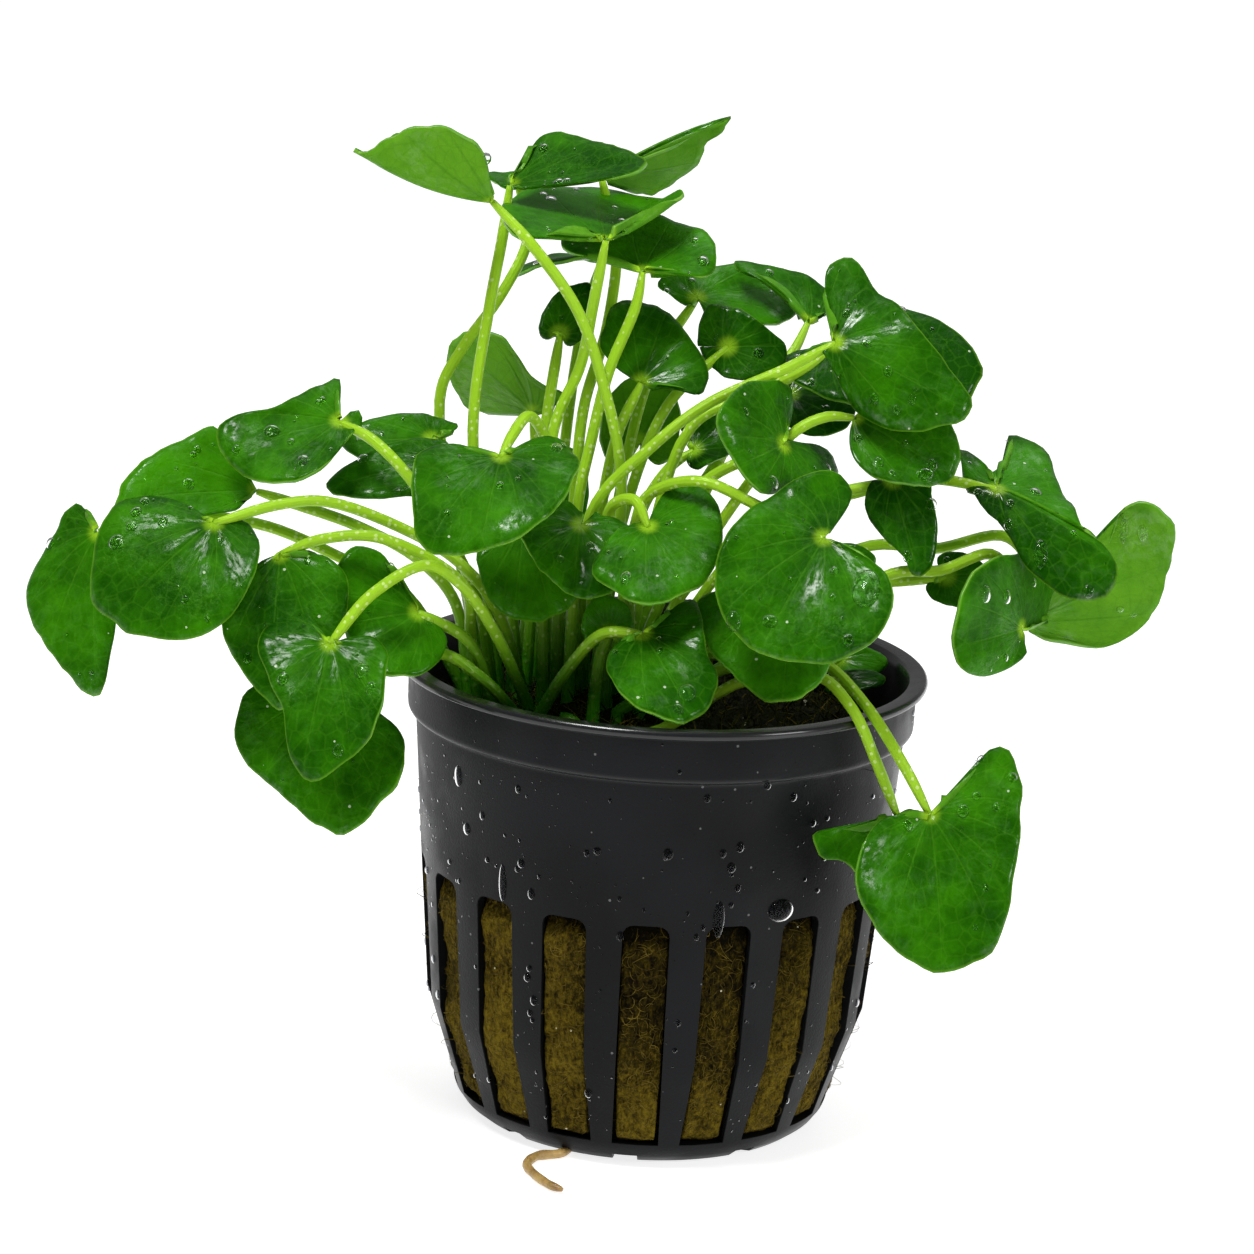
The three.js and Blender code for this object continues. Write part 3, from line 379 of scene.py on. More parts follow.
# Looks of single leaves. tone: 0 darkest to 1 lightest. turn: painted light, how much lighter the
# left half is painted than the right, as if light fell on that half. wet: share of wet gloss. cup:
# rise of the lobes. start: where on the blade its seen rim is looked for. mirrored: the seen rim
# is one half, and the other its mirror image. curls: bearing from the tip (to the left is
# positive) and spread in degrees, and lift of the margin in millimetres.
LEAF_LOOKS = {
    "01": dict(tone=0.75, start=(0.4, 0.8), mirrored=True),
    "02": dict(tone=0.3, wet=0.4),
    "03": dict(tone=0.6, wet=0.2, curls=((-15, 25, 1.2),)),
    "04": dict(tone=0.5),
    "05": dict(wet=0.5),
    "10": dict(tone=0.95, curls=((-60, 16, 0.9), (-100, 20, -0.8))),
    "13": dict(tone=0.25),
    "14": dict(tone=0.35, wet=1.35),
    "15": dict(tone=0.05),
    "16": dict(tone=0.4, wet=1.2),
    "17": dict(tone=0.2, curls=((50, 15, 0.7), (-40, 15, -0.8), (90, 18, -0.6))),
    "18": dict(tone=0.35, turn=0.4, wet=1.35, cup=0.0),
    "20": dict(tone=0.65, wet=1.4, curls=((14, 9, -1.6),)),
    "21": dict(tone=0.5, wet=0.4),
    "24": dict(tone=0.35),
    "26": dict(tone=0.3, wet=0.8),
    "27": dict(tone=0.9),
    "28": dict(tone=0.5, wet=0.8),
    "29": dict(tone=0.4),
    "30": dict(tone=0.65),
    "31": dict(wet=0.8),
    "32": dict(tone=0.4, wet=0.45, cup=-0.6),
    "33": dict(tone=0.5),
    "34": dict(tone=0.8),
    "35": dict(tone=0.45, wet=0.8, curls=((110, 30, 1.6),)),
    "39": dict(tone=0.3, wet=0.55, cup=0.0, curls=((-75, 25, 0.8),)),
    "42": dict(tone=0.6, wet=0.7),
    "43": dict(tone=0.4),
    "44": dict(tone=0.5),
    "45": dict(tone=0.9),
    "46": dict(tone=0.0),
    "49": dict(tone=0.05),
    "52": dict(tone=0.7),
    "53": dict(tone=0.95),
}

# What a leaf has where its row and its looks don't say
LEAF_DEFAULTS = dict(fold=(5, 5), lobes=(1, 1), droop=20, bends=(), turn=0.0, wet=1.0, cup=0.3,
                     start=None, mirrored=False, curls=())

# Large beads on the leaves: a pixel of the photograph, and width and length in millimetres
LEAF_BEADS = {
    "03": ((551, 201, 1.2, 1.4), (622, 222, 0.8, 0.9)), "05": ((612, 240, 0.9, 1.0),),
    "14": ((888, 372, 1.0, 1.2), (869, 345, 0.7, 0.8), (912, 400, 0.9, 1.2)),
    "16": ((878, 465, 1.3, 1.5), (925, 474, 1.8, 1.3)), "17": ((898, 486, 1.0, 1.6),),
    "18": ((1040, 555, 1.5, 3.2), (1088, 592, 1.2, 1.4), (1010, 505, 0.9, 1.0)),
    "20": ((1143, 532, 1.2, 2.0), (1124, 528, 0.8, 3.4), (1120, 608, 0.8, 0.9)),
    "21": ((983, 594, 1.7, 2.0), (1005, 597, 1.5, 1.6), (1030, 583, 0.8, 0.9)),
    "24": ((866, 590, 3.0, 4.4), (734, 622, 1.6, 2.2), (770, 622, 1.7, 1.4), (848, 640, 1.2, 1.4)),
    "26": ((687, 693, 1.9, 2.1), (660, 652, 0.8, 0.9)), "28": ((626, 578, 1.2, 1.8),),
    "29": ((590, 548, 1.0, 1.4), (560, 560, 0.9, 1.0)), "31": ((500, 486, 0.9, 1.0),),
    "32": ((117, 543, 1.7, 1.8), (132, 527, 1.3, 1.2), (163, 522, 1.1, 1.5), (185, 600, 0.8, 0.9)),
    "35": ((272, 432, 1.8, 1.5), (303, 461, 1.3, 1.5), (291, 443, 0.8, 0.9), (322, 402, 0.8, 0.9)),
    "39": ((362, 672, 1.6, 1.8), (371, 690, 1.1, 1.6)), "42": ((428, 622, 1.0, 1.1),),
    "47": ((772, 483, 1.3, 1.5), (745, 412, 0.7, 0.9)), "49": ((826, 410, 0.8, 0.9),),
}

# Large beads on the pot: bearing in degrees, height, width and length in millimetres
POT_BEADS = (
    (-58.0, 30.0, 3.1, 2.6), (-74.0, 29.6, 1.3, 4.2), (-128.0, 31.0, 1.0, 4.3),
    (-143.0, 41.0, 1.2, 2.4), (-79.0, 43.0, 0.8, 1.0), (-66.0, 44.4, 0.8, 0.9),
    (-87.0, 36.8, 1.1, 1.3), (-72.0, 35.3, 1.0, 1.2), (-140.0, 35.5, 1.1, 1.4),
    (-97.0, 27.4, 0.9, 1.1), (-58.0, 42.6, 0.9, 1.1), (-70.0, 33.0, 0.7, 0.9),
)


# Shapes

def camera_axes():
    """Unit vectors to the right of, above and ahead of the camera."""
    pitch, roll = math.radians(CAMERA_PITCH), math.radians(CAMERA_ROLL)
    ahead = Vector((0, math.cos(pitch), -math.sin(pitch)))
    over = Vector((0, math.sin(pitch), math.cos(pitch)))
    right = Vector((math.cos(roll), 0, 0)) + over * math.sin(roll)
    above = over * math.cos(roll) - Vector((math.sin(roll), 0, 0))
    return right, above, ahead


def along_stations(stations, height):
    """Value at a height between stations of height and value."""
    for (low, first), (high, second) in zip(stations, stations[1:]):
        if height <= high:
            return first + (second - first) * max(0.0, height - low) / (high - low)
    return stations[-1][1]


def moss_height(x, y):
    """Height of the moss at a point of the plan, in millimetres."""
    off = (x - MOSS_CROWN_PLACE[0]) ** 2 + (y - MOSS_CROWN_PLACE[1]) ** 2
    crown = math.exp(-off / MOSS_CROWN_SPREAD)
    waves = 0.35 * math.sin(0.42 * x + 1.1) * math.cos(0.37 * y - 0.4)
    return MOSS_EDGE_HEIGHT + (MOSS_CROWN_HEIGHT - MOSS_EDGE_HEIGHT) * crown + waves


def smooth_path(points, count):
    """Evenly parameterised points of a centripetal spline through the given points."""
    ends = [points[0] * 2 - points[1], *points, points[-1] * 2 - points[-2]]
    path = []
    for step in range(count + 1):
        place = (len(points) - 1) * step / count
        span = min(int(place), len(points) - 2)
        weight = place - span
        before, start, end, after = ends[span:span + 4]
        first = (start - before).length ** 0.5
        middle = (end - start).length ** 0.5
        last = (after - end).length ** 0.5
        leave = ((start - before) / first - (end - before) / (first + middle)
                 + (end - start) / middle) * middle
        reach = ((end - start) / middle - (after - start) / (middle + last)
                 + (after - end) / last) * middle
        square, cube = weight ** 2, weight ** 3
        path.append((2 * cube - 3 * square + 1) * start + (cube - 2 * square + weight) * leave
                    + (3 * square - 2 * cube) * end + (cube - square) * reach)
    return path


def run_lengths(path):
    """Distance along a path from its start to each of its points."""
    lengths = [0.0]
    for first, second in zip(path, path[1:]):
        lengths.append(lengths[-1] + (second - first).length)
    return lengths


def evenly_spaced(path, count):
    """Points at even distances along a path, count steps in all."""
    lengths = run_lengths(path)
    points, span = [], 0
    for step in range(count + 1):
        run = lengths[-1] * step / count
        while span < len(path) - 2 and lengths[span + 1] < run:
            span += 1
        share = (run - lengths[span]) / max(1e-9, lengths[span + 1] - lengths[span])
        points.append(path[span].lerp(path[span + 1], min(1.0, share)))
    return points


def carried_frames(path):
    """Two cross axes at each point of a path, carried along it without twist."""
    frames = []
    side = None
    for i in range(len(path)):
        ahead = (path[min(i + 1, len(path) - 1)] - path[max(i - 1, 0)]).normalized()
        if side is None:
            side = ahead.orthogonal()
        side = (side - ahead * side.dot(ahead)).normalized()
        frames.append((side, ahead.cross(side)))
    return frames


def ring_point(centre, axes, girth, angle):
    """Point at a distance and an angle round a centre, in the plane of its two cross axes."""
    side, cross = axes
    return centre + side * girth * math.cos(angle) + cross * girth * math.sin(angle)


def wrapped_grid(bm, columns, rows, place):
    """Grid whose columns close round the Z axis or a path. place gives each point's spot."""
    made = bmesh.ops.create_grid(bm, x_segments=columns, y_segments=rows, size=1)["verts"]
    for i, vert in enumerate(made):
        vert.co = place(i % (columns + 1) % columns, i // (columns + 1))
    return made


def finish_mesh(bm, name, materials, replaced=(), outward=True):
    """Object at the origin from a bmesh, in place of the nodes that it replaces."""
    if outward:
        bmesh.ops.recalc_face_normals(bm, faces=bm.faces[:])
    mesh = bpy.data.meshes.new(name)
    bm.to_mesh(mesh)
    bm.free()
    mesh.shade_smooth()
    for material in materials:
        mesh.materials.append(material)
    piece = bpy.data.objects.new(name, mesh)
    bpy.context.collection.objects.link(piece)
    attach(piece, "root")
    if replaced:
        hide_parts(*replaced)
    return piece


def finish_strands(name, strands, material):
    """Curve object of thin strands, each a list of points and a radius."""
    curve = bpy.data.curves.new(name, "CURVE")
    curve.dimensions = "3D"
    curve.bevel_depth = 1.0
    curve.bevel_resolution = 0
    curve.use_fill_caps = True
    for points, radius in strands:
        spline = curve.splines.new("POLY")
        spline.points.add(len(points) - 1)
        for i, (target, point) in enumerate(zip(spline.points, points)):
            target.co = (*point, 1.0)
            target.radius = radius * (1.0 - 0.6 * i / (len(points) - 1))
    curve.materials.append(material)
    piece = bpy.data.objects.new(name, curve)
    bpy.context.collection.objects.link(piece)
    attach(piece, "root")
    return piece


def add_drop(bm, centre, normal, width, length, depth, detail=2):
    """Bead of water lying on a surface, in millimetres, its length running down."""
    out = normal.normalized()
    run = (DOWN - out * DOWN.dot(out)).normalized()
    side = out.cross(run)
    shape = Matrix((side * width / 2, run * length / 2, out * depth)).transposed().to_4x4()
    shape.translation = centre
    shape = Matrix.Scale(MM, 4) @ shape
    bmesh.ops.create_icosphere(bm, subdivisions=detail, radius=1.0, matrix=shape)


# Materials

def put(tree, kind, inputs=None, **settings):
    """Node of a kind with its settings, its inputs given by name or number."""
    made = tree.nodes.new("ShaderNode" + kind)
    for key, value in settings.items():
        setattr(made, key, value)
    for key, value in (inputs or {}).items():
        if isinstance(value, bpy.types.NodeSocket):
            tree.links.new(value, made.inputs[key])
        else:
            made.inputs[key].default_value = value
    return made


def calc(tree, operation, *values):
    """Result of a Math node."""
    return put(tree, "Math", dict(enumerate(values)), operation=operation).outputs[0]


def fade(tree, value, start, end, low=0.0, high=1.0):
    """Smooth change from low to high while value goes from start to end."""
    ends = {"Value": value, "From Min": start, "From Max": end, "To Min": low, "To Max": high}
    return put(tree, "MapRange", ends, interpolation_type="SMOOTHSTEP").outputs[0]


def mixed(tree, factor, first, second):
    """Mix of two colours, each a socket or red, green and blue."""
    node = put(tree, "Mix", {0: factor, 6: solid(first), 7: solid(second)}, data_type="RGBA")
    return node.outputs[2]


def solid(colour):
    """Colour with full alpha, or the socket that gives one."""
    return colour if isinstance(colour, bpy.types.NodeSocket) else (*colour, 1)


def cloud(tree, vector, scale, detail=3.0, roughness=0.5):
    """Noise value at a scale."""
    given = {"Vector": vector, "Scale": scale, "Detail": detail, "Roughness": roughness}
    return put(tree, "TexNoise", given).outputs["Fac"]


def ramp(tree, value, stops):
    """Colour along stops of position and colour."""
    node = put(tree, "ValToRGB", {"Fac": value})
    elements = node.color_ramp.elements
    while len(elements) < len(stops):
        elements.new(0.5)
    for element, (position, colour) in zip(elements, stops):
        element.position = position
        element.color = (*colour, 1.0)
    return node.outputs[0]


def new_group(name, inputs, outputs):
    """Shader node group with named sockets, and its input and output nodes."""
    tree = bpy.data.node_groups.new(name, "ShaderNodeTree")
    for label, kind, value in inputs:
        socket = tree.interface.new_socket(label, in_out="INPUT", socket_type="NodeSocket" + kind)
        if kind == "Float":
            socket.default_value = value
    for label in outputs:
        tree.interface.new_socket(label, in_out="OUTPUT", socket_type="NodeSocketFloat")
    entry = tree.nodes.new("NodeGroupInput")
    leave = tree.nodes.new("NodeGroupOutput")
    return tree, entry.outputs, leave.inputs


def vein_group():
    """Palmate veins, a fine net between them and radial streaks, from a blade's own place."""
    if "Leaf veins" in bpy.data.node_groups:
        return bpy.data.node_groups["Leaf veins"]
    tree, given, result = new_group(
        "Leaf veins", (("Place", "Vector", None), ("Width", "Float", 0.16)),
        ("Vein", "Net", "Streak", "Middle"))
    place = put(tree, "SeparateXYZ", {0: given["Place"]})
    along, across, reach = place.outputs
    bearing = calc(tree, "ARCTAN2", across, along)
    radius = calc(tree, "SQRT", calc(tree, "ADD", calc(tree, "MULTIPLY", along, along),
                                     calc(tree, "MULTIPLY", across, across)))
    bent = calc(tree, "MULTIPLY", bearing, calc(tree, "MULTIPLY_ADD", reach, 0.35, 1.0))
    turn = calc(tree, "PINGPONG", bent, 0.26)
    distance = calc(tree, "MULTIPLY", turn, radius)
    vein = fade(tree, distance, given["Width"], 0.0)
    fading = fade(tree, reach, 1.0, 0.45, 0.25, 1.0)
    tree.links.new(calc(tree, "MULTIPLY", vein, fading), result["Vein"])
    cells = put(tree, "TexVoronoi", {"Vector": given["Place"], "Scale": 0.62},
                feature="DISTANCE_TO_EDGE").outputs["Distance"]
    tree.links.new(fade(tree, cells, 0.09, 0.0), result["Net"])
    rays = put(tree, "CombineXYZ", {0: calc(tree, "MULTIPLY", bearing, 7.0),
                                    1: calc(tree, "MULTIPLY", radius, 0.45)})
    tree.links.new(cloud(tree, rays.outputs[0], 1.6, 4.0, 0.7), result["Streak"])
    tree.links.new(fade(tree, radius, 1.5, 0.2), result["Middle"])
    return tree


def speck_group():
    """Small pale specks scattered over a surface."""
    if "Specks" in bpy.data.node_groups:
        return bpy.data.node_groups["Specks"]
    tree, given, result = new_group(
        "Specks", (("Vector", "Vector", None), ("Scale", "Float", 900.0),
                   ("Size", "Float", 0.16), ("Share", "Float", 0.1)), ("Mask",))
    cells = put(tree, "TexVoronoi", {"Vector": given["Vector"], "Scale": given["Scale"]})
    dot = calc(tree, "LESS_THAN", cells.outputs["Distance"], given["Size"])
    shade = put(tree, "SeparateColor", {0: cells.outputs["Color"]}).outputs[0]
    kept = calc(tree, "LESS_THAN", shade, given["Share"])
    tree.links.new(calc(tree, "MULTIPLY", dot, kept), result["Mask"])
    return tree


def film_group():
    """Wet film: broad patches and fine grain, for gloss and small relief."""
    if "Wet film" in bpy.data.node_groups:
        return bpy.data.node_groups["Wet film"]
    tree, given, result = new_group(
        "Wet film", (("Vector", "Vector", None), ("Patch scale", "Float", 120.0),
                     ("Grain scale", "Float", 2500.0)), ("Patch", "Grain"))
    broad = cloud(tree, given["Vector"], given["Patch scale"], 3.0, 0.55)
    tree.links.new(fade(tree, broad, 0.42, 0.58), result["Patch"])
    tree.links.new(cloud(tree, given["Vector"], given["Grain scale"], 2.0, 0.6), result["Grain"])
    return tree


def grouped(tree, group, **inputs):
    """Group node with its inputs."""
    node = put(tree, "Group")
    node.node_tree = group
    for key, value in inputs.items():
        label = key.replace("_", " ")
        if isinstance(value, bpy.types.NodeSocket):
            tree.links.new(value, node.inputs[label])
        else:
            node.inputs[label].default_value = value
    return node.outputs


def speckled(tree, base, spots, colour, strength, **cells):
    """Colour with specks of another scattered over it."""
    mask = grouped(tree, speck_group(), Vector=spots, **cells)["Mask"]
    return mixed(tree, calc(tree, "MULTIPLY", mask, strength), base, colour)


def new_material(name, **shader):
    """Material with a Principled shader, and its tree and shader node."""
    material = bpy.data.materials.new(name)
    material.use_nodes = True
    principled = material.node_tree.nodes["Principled BSDF"]
    for key, value in shader.items():
        principled.inputs[key.replace("_", " ")].default_value = value
    return material, material.node_tree, principled.inputs


def link_bump(tree, inputs, height, strength, distance):
    """Bump from a height value."""
    bump = put(tree, "Bump", {"Height": height, "Strength": strength, "Distance": distance})
    tree.links.new(bump.outputs["Normal"], inputs["Normal"])


def object_place(tree):
    """Object coordinates."""
    return put(tree, "TexCoord").outputs["Object"]


def stored(tree, name, output="Fac"):
    """Value that the mesh stores for each of its points."""
    return put(tree, "Attribute", attribute_name=name).outputs[output]


def leaf_upper_material(looks):
    """Deep green with faint pale veins, dull where it is dry and finely wrinkled where wet."""
    material, tree, inputs = new_material("Leaf upper", Specular_IOR_Level=0.1,
                                          Specular_Tint=(0.35, 1.0, 0.1, 1),
                                          Coat_Roughness=0.14)
    place = stored(tree, "leaf_place", "Vector")
    tone = stored(tree, "leaf_tone")
    reach = put(tree, "SeparateXYZ", {0: place}).outputs[2]
    veins = grouped(tree, vein_group(), Place=place, Width=0.2)
    spots = object_place(tree)
    film = grouped(tree, film_group(), Vector=spots, Patch_scale=190.0, Grain_scale=2200.0)
    mottle = cloud(tree, spots, 160.0, 4.0, 0.6)
    shade = calc(tree, "MULTIPLY_ADD", mottle, 1.2, calc(tree, "MULTIPLY_ADD", tone, 0.85, -0.6))
    shade = calc(tree, "MULTIPLY_ADD", veins["Streak"], 0.4, calc(tree, "SUBTRACT", shade, 0.2))
    base = mixed(tree, fade(tree, shade, 0.0, 0.9), looks.dark, looks.light)
    net = calc(tree, "MULTIPLY", veins["Net"], 0.1)
    marks = calc(tree, "MULTIPLY_ADD", veins["Vein"], 0.16, net)
    base = mixed(tree, marks, base, looks.vein)
    base = mixed(tree, calc(tree, "MULTIPLY", veins["Middle"], 0.8), base, looks.stalk)
    base = mixed(tree, fade(tree, reach, 0.975, 1.0, 0.0, 0.5), base, looks.rim)
    # Pale specks: painted glints of tiny beads of water on the blade.
    base = speckled(tree, base, spots, (0.6, 0.7, 0.5), 0.7, Scale=750.0, Size=0.12, Share=0.07)
    tree.links.new(base, inputs["Base Color"])
    rough = calc(tree, "MULTIPLY_ADD", film["Patch"], -0.15, 0.42)
    tree.links.new(calc(tree, "MULTIPLY_ADD", veins["Streak"], 0.08, rough), inputs["Roughness"])
    broken = fade(tree, veins["Streak"], 0.42, 0.6)
    broken = calc(tree, "MULTIPLY", broken, fade(tree, film["Grain"], 0.3, 0.6, 0.4, 1.0))
    wet = calc(tree, "MULTIPLY_ADD", film["Patch"], 0.65, 0.08)
    wet = calc(tree, "MULTIPLY", wet, stored(tree, "leaf_wet"))
    tree.links.new(calc(tree, "MULTIPLY", wet, broken), inputs["Coat Weight"])
    wrinkle = calc(tree, "MULTIPLY_ADD", film["Grain"], 0.6, veins["Streak"])
    wrinkle = calc(tree, "MULTIPLY", wrinkle,
                   calc(tree, "MULTIPLY_ADD", film["Patch"], 0.5, 0.5))
    relief = calc(tree, "MULTIPLY_ADD", mottle, 1.6, wrinkle)
    relief = calc(tree, "MULTIPLY_ADD", veins["Vein"], -0.3, relief)
    link_bump(tree, inputs, relief, 0.8, 0.0002)
    return material


def leaf_under_material(looks):
    """Light green underside with raised veins, wet here and there."""
    material, tree, inputs = new_material("Leaf under", Specular_IOR_Level=0.15,
                                          Specular_Tint=(0.5, 0.95, 0.15, 1),
                                          Coat_Roughness=0.2)
    place = stored(tree, "leaf_place", "Vector")
    tone = stored(tree, "leaf_tone")
    veins = grouped(tree, vein_group(), Place=place, Width=0.3)
    spots = object_place(tree)
    mottle = cloud(tree, spots, 240.0, 4.0, 0.6)
    # The blend towards the lit underside colour is partly the leaf's own mottle and partly painted
    # light of a blade lit from behind.
    shade = calc(tree, "MULTIPLY_ADD", mottle, 1.0, calc(tree, "MULTIPLY_ADD", tone, 0.7, -0.55))
    shade = calc(tree, "MULTIPLY_ADD", veins["Streak"], 0.3, shade)
    base = mixed(tree, fade(tree, shade, 0.0, 0.9), looks.under, looks.under_light)
    film = grouped(tree, film_group(), Vector=spots, Patch_scale=150.0, Grain_scale=2200.0)
    wet = stored(tree, "leaf_wet")
    sheen = calc(tree, "MULTIPLY", fade(tree, veins["Streak"], 0.42, 0.6), film["Patch"])
    tree.links.new(calc(tree, "MULTIPLY", calc(tree, "MULTIPLY", sheen, wet), 0.5),
                   inputs["Coat Weight"])
    net = calc(tree, "MULTIPLY", veins["Net"], 0.2)
    marks = calc(tree, "MULTIPLY_ADD", veins["Vein"], 0.35, net)
    base = mixed(tree, marks, base, looks.under)
    base = mixed(tree, veins["Middle"], base, looks.stalk)
    tree.links.new(base, inputs["Base Color"])
    tree.links.new(calc(tree, "MULTIPLY_ADD", veins["Streak"], 0.2, 0.38), inputs["Roughness"])
    relief = calc(tree, "MULTIPLY_ADD", veins["Vein"], 0.8, veins["Streak"])
    link_bump(tree, inputs, relief, 0.5, 0.0002)
    return material


def leaf_rim_material(looks):
    """Thin light margin of a blade."""
    material, tree, inputs = new_material("Leaf rim", Roughness=0.4)
    mottle = cloud(tree, object_place(tree), 500.0, 2.0, 0.5)
    base = mixed(tree, fade(tree, mottle, 0.35, 0.65), looks.rim, looks.vein)
    tree.links.new(base, inputs["Base Color"])
    return material


def stalk_material(looks):
    """Fresh yellow-green stalk, darker at the foot, with rows of pale dots, part cells, part
    painted glints.
    """
    material, tree, inputs = new_material("Leaf stalk", Specular_IOR_Level=0.3,
                                          Specular_Tint=(0.8, 1.0, 0.4, 1))
    place = stored(tree, "leaf_place", "Vector")
    distance, cosine, sine = put(tree, "SeparateXYZ", {0: place}).outputs
    skin = put(tree, "CombineXYZ", {0: distance, 1: calc(tree, "MULTIPLY", cosine, 0.6),
                                    2: calc(tree, "MULTIPLY", sine, 0.6)}).outputs[0]
    rise = fade(tree, distance, 2.0, 22.0)
    grain = cloud(tree, skin, 0.9, 4.0, 0.6)
    shade = calc(tree, "MULTIPLY_ADD", grain, 0.35, calc(tree, "MULTIPLY_ADD", rise, 0.9, -0.18))
    base = mixed(tree, shade, looks.stalk_foot, looks.stalk)
    # Pale dots: partly the stalk's own cells, partly painted glints of water on it.
    dots = put(tree, "TexVoronoi", {"Vector": skin, "Scale": 1.15,
                                    "Randomness": 0.75}).outputs["Distance"]
    dot = fade(tree, dots, 0.3, 0.18)
    shown = calc(tree, "MULTIPLY", dot, fade(tree, distance, 4.0, 20.0, 0.05, 0.55))
    base = mixed(tree, shown, base, looks.stalk_dot_and_glint)
    tree.links.new(base, inputs["Base Color"])
    tree.links.new(calc(tree, "MULTIPLY_ADD", grain, 0.2, 0.22), inputs["Roughness"])
    lines = calc(tree, "SINE", calc(tree, "MULTIPLY", calc(tree, "ARCTAN2", sine, cosine), 9.0))
    relief = calc(tree, "MULTIPLY_ADD", lines, 0.15, calc(tree, "MULTIPLY_ADD", dot, 0.5, grain))
    link_bump(tree, inputs, relief, 0.4, 0.0002)
    return material


def pot_material(looks):
    """Matt charcoal plastic with a fine grain, glossy on the lip and the band's lower edge."""
    material, tree, inputs = new_material("Pot plastic", Specular_IOR_Level=0.11,
                                          Coat_Roughness=0.15)
    spots = object_place(tree)
    film = grouped(tree, film_group(), Vector=spots, Patch_scale=95.0, Grain_scale=4200.0)
    broad = cloud(tree, spots, 45.0, 3.0, 0.5)
    base = mixed(tree, fade(tree, broad, 0.3, 0.7), looks.dark, looks.light)
    base = speckled(tree, base, spots, (0.45, 0.45, 0.45), 0.25, Scale=900.0, Size=0.13,
                    Share=0.06)
    tree.links.new(base, inputs["Base Color"])
    tree.links.new(calc(tree, "MULTIPLY_ADD", film["Patch"], -0.16, 0.46), inputs["Roughness"])
    height = put(tree, "SeparateXYZ", {0: spots}).outputs[2]
    band = calc(tree, "MULTIPLY", fade(tree, height, *GLOSSY_BAND[:2], 0.0, 0.3),
                fade(tree, height, *GLOSSY_BAND[2:], 1.0, 0.0))
    lip = fade(tree, height, *GLOSSY_LIP, 0.0, 0.8)
    tree.links.new(calc(tree, "ADD", band, lip), inputs["Coat Weight"])
    relief = calc(tree, "MULTIPLY_ADD", film["Grain"], 0.8, broad)
    link_bump(tree, inputs, relief, 0.22, 0.0002)
    return material


def wool_material(looks):
    """Olive brown mineral wool, with painted shade in the hollows and painted light where it
    bulges.
    """
    material, tree, inputs = new_material("Rockwool", Specular_IOR_Level=0.05, Roughness=0.9)
    spots = object_place(tree)
    broad = cloud(tree, spots, 110.0, 5.0, 0.6)
    fine = cloud(tree, spots, 1500.0, 4.0, 0.75)
    stretched = put(tree, "Mapping", {"Vector": spots, "Scale": (1.0, 1.0, 0.35)}).outputs[0]
    hair = cloud(tree, stretched, 2600.0, 3.0, 0.7)
    # How far the wool lies out: painted shade where it lies deep behind the ribs, painted light
    # where it bulges into the slots.
    depth = stored(tree, "wool_bulge")
    shade = calc(tree, "MULTIPLY_ADD", broad, 0.75, calc(tree, "MULTIPLY_ADD", depth, 0.5, -0.25))
    shade = calc(tree, "MULTIPLY_ADD", calc(tree, "SUBTRACT", fine, 0.5), 1.3, shade)
    shade = calc(tree, "MULTIPLY_ADD", calc(tree, "SUBTRACT", hair, 0.5), 0.9, shade)
    damp = put(tree, "VectorMath", {0: spots, 1: DAMP_SPOT}, operation="DISTANCE").outputs["Value"]
    damp = calc(tree, "MULTIPLY_ADD", broad, -0.012, damp)
    shade = calc(tree, "ADD", shade, fade(tree, damp, 0.0, 0.012, -0.34, 0.0))
    base = ramp(tree, shade, ((0.12, looks.wool_dark), (0.42, looks.wool),
                              (0.85, looks.wool_light)))
    base = speckled(tree, base, spots, (0.75, 0.68, 0.45), 0.8, Scale=1300.0, Size=0.16,
                    Share=0.03)
    tree.links.new(base, inputs["Base Color"])
    link_bump(tree, inputs, calc(tree, "ADD", fine, hair), 0.9, 0.0006)
    return material


def strand_material(name, dark, light, roughness):
    """Thin strands that differ in colour from place to place."""
    material, tree, inputs = new_material(name, Specular_IOR_Level=0.08, Roughness=roughness)
    spots = object_place(tree)
    shade = cloud(tree, spots, 420.0, 3.0, 0.7)
    tree.links.new(mixed(tree, fade(tree, shade, 0.35, 0.68), dark, light),
                   inputs["Base Color"])
    link_bump(tree, inputs, cloud(tree, spots, 3500.0, 2.0, 0.6), 0.4, 0.0001)
    return material


def moss_material(looks):
    """Nearly black wet soil with olive moss and pale grains."""
    material, tree, inputs = new_material("Moss and soil", Specular_IOR_Level=0.06)
    spots = object_place(tree)
    broad = cloud(tree, spots, 260.0, 5.0, 0.65)
    fine = cloud(tree, spots, 1800.0, 4.0, 0.7)
    shade = calc(tree, "MULTIPLY_ADD", fine, 0.5, calc(tree, "MULTIPLY_ADD", broad, 1.0, -0.25))
    base = ramp(tree, shade, ((0.35, looks.soil), (0.6, looks.moss), (0.85, looks.wool)))
    base = speckled(tree, base, spots, (0.7, 0.66, 0.5), 0.85, Scale=1000.0, Size=0.2, Share=0.08)
    tree.links.new(base, inputs["Base Color"])
    tree.links.new(calc(tree, "MULTIPLY_ADD", fine, 0.5, 0.35), inputs["Roughness"])
    link_bump(tree, inputs, calc(tree, "MULTIPLY_ADD", fine, 0.7, broad), 0.9, 0.0008)
    return material


def root_material(looks):
    """Translucent tan root with darker bands."""
    material, tree, inputs = new_material("Root", Specular_IOR_Level=0.5, Roughness=0.4,
                                          Subsurface_Weight=0.15, Subsurface_Scale=0.001)
    spots = object_place(tree)
    shade = cloud(tree, spots, 380.0, 4.0, 0.6)
    base = mixed(tree, fade(tree, shade, 0.3, 0.7), looks.root_dark, looks.root)
    tree.links.new(base, inputs["Base Color"])
    link_bump(tree, inputs, cloud(tree, spots, 1900.0, 3.0, 0.6), 0.4, 0.0002)
    return material


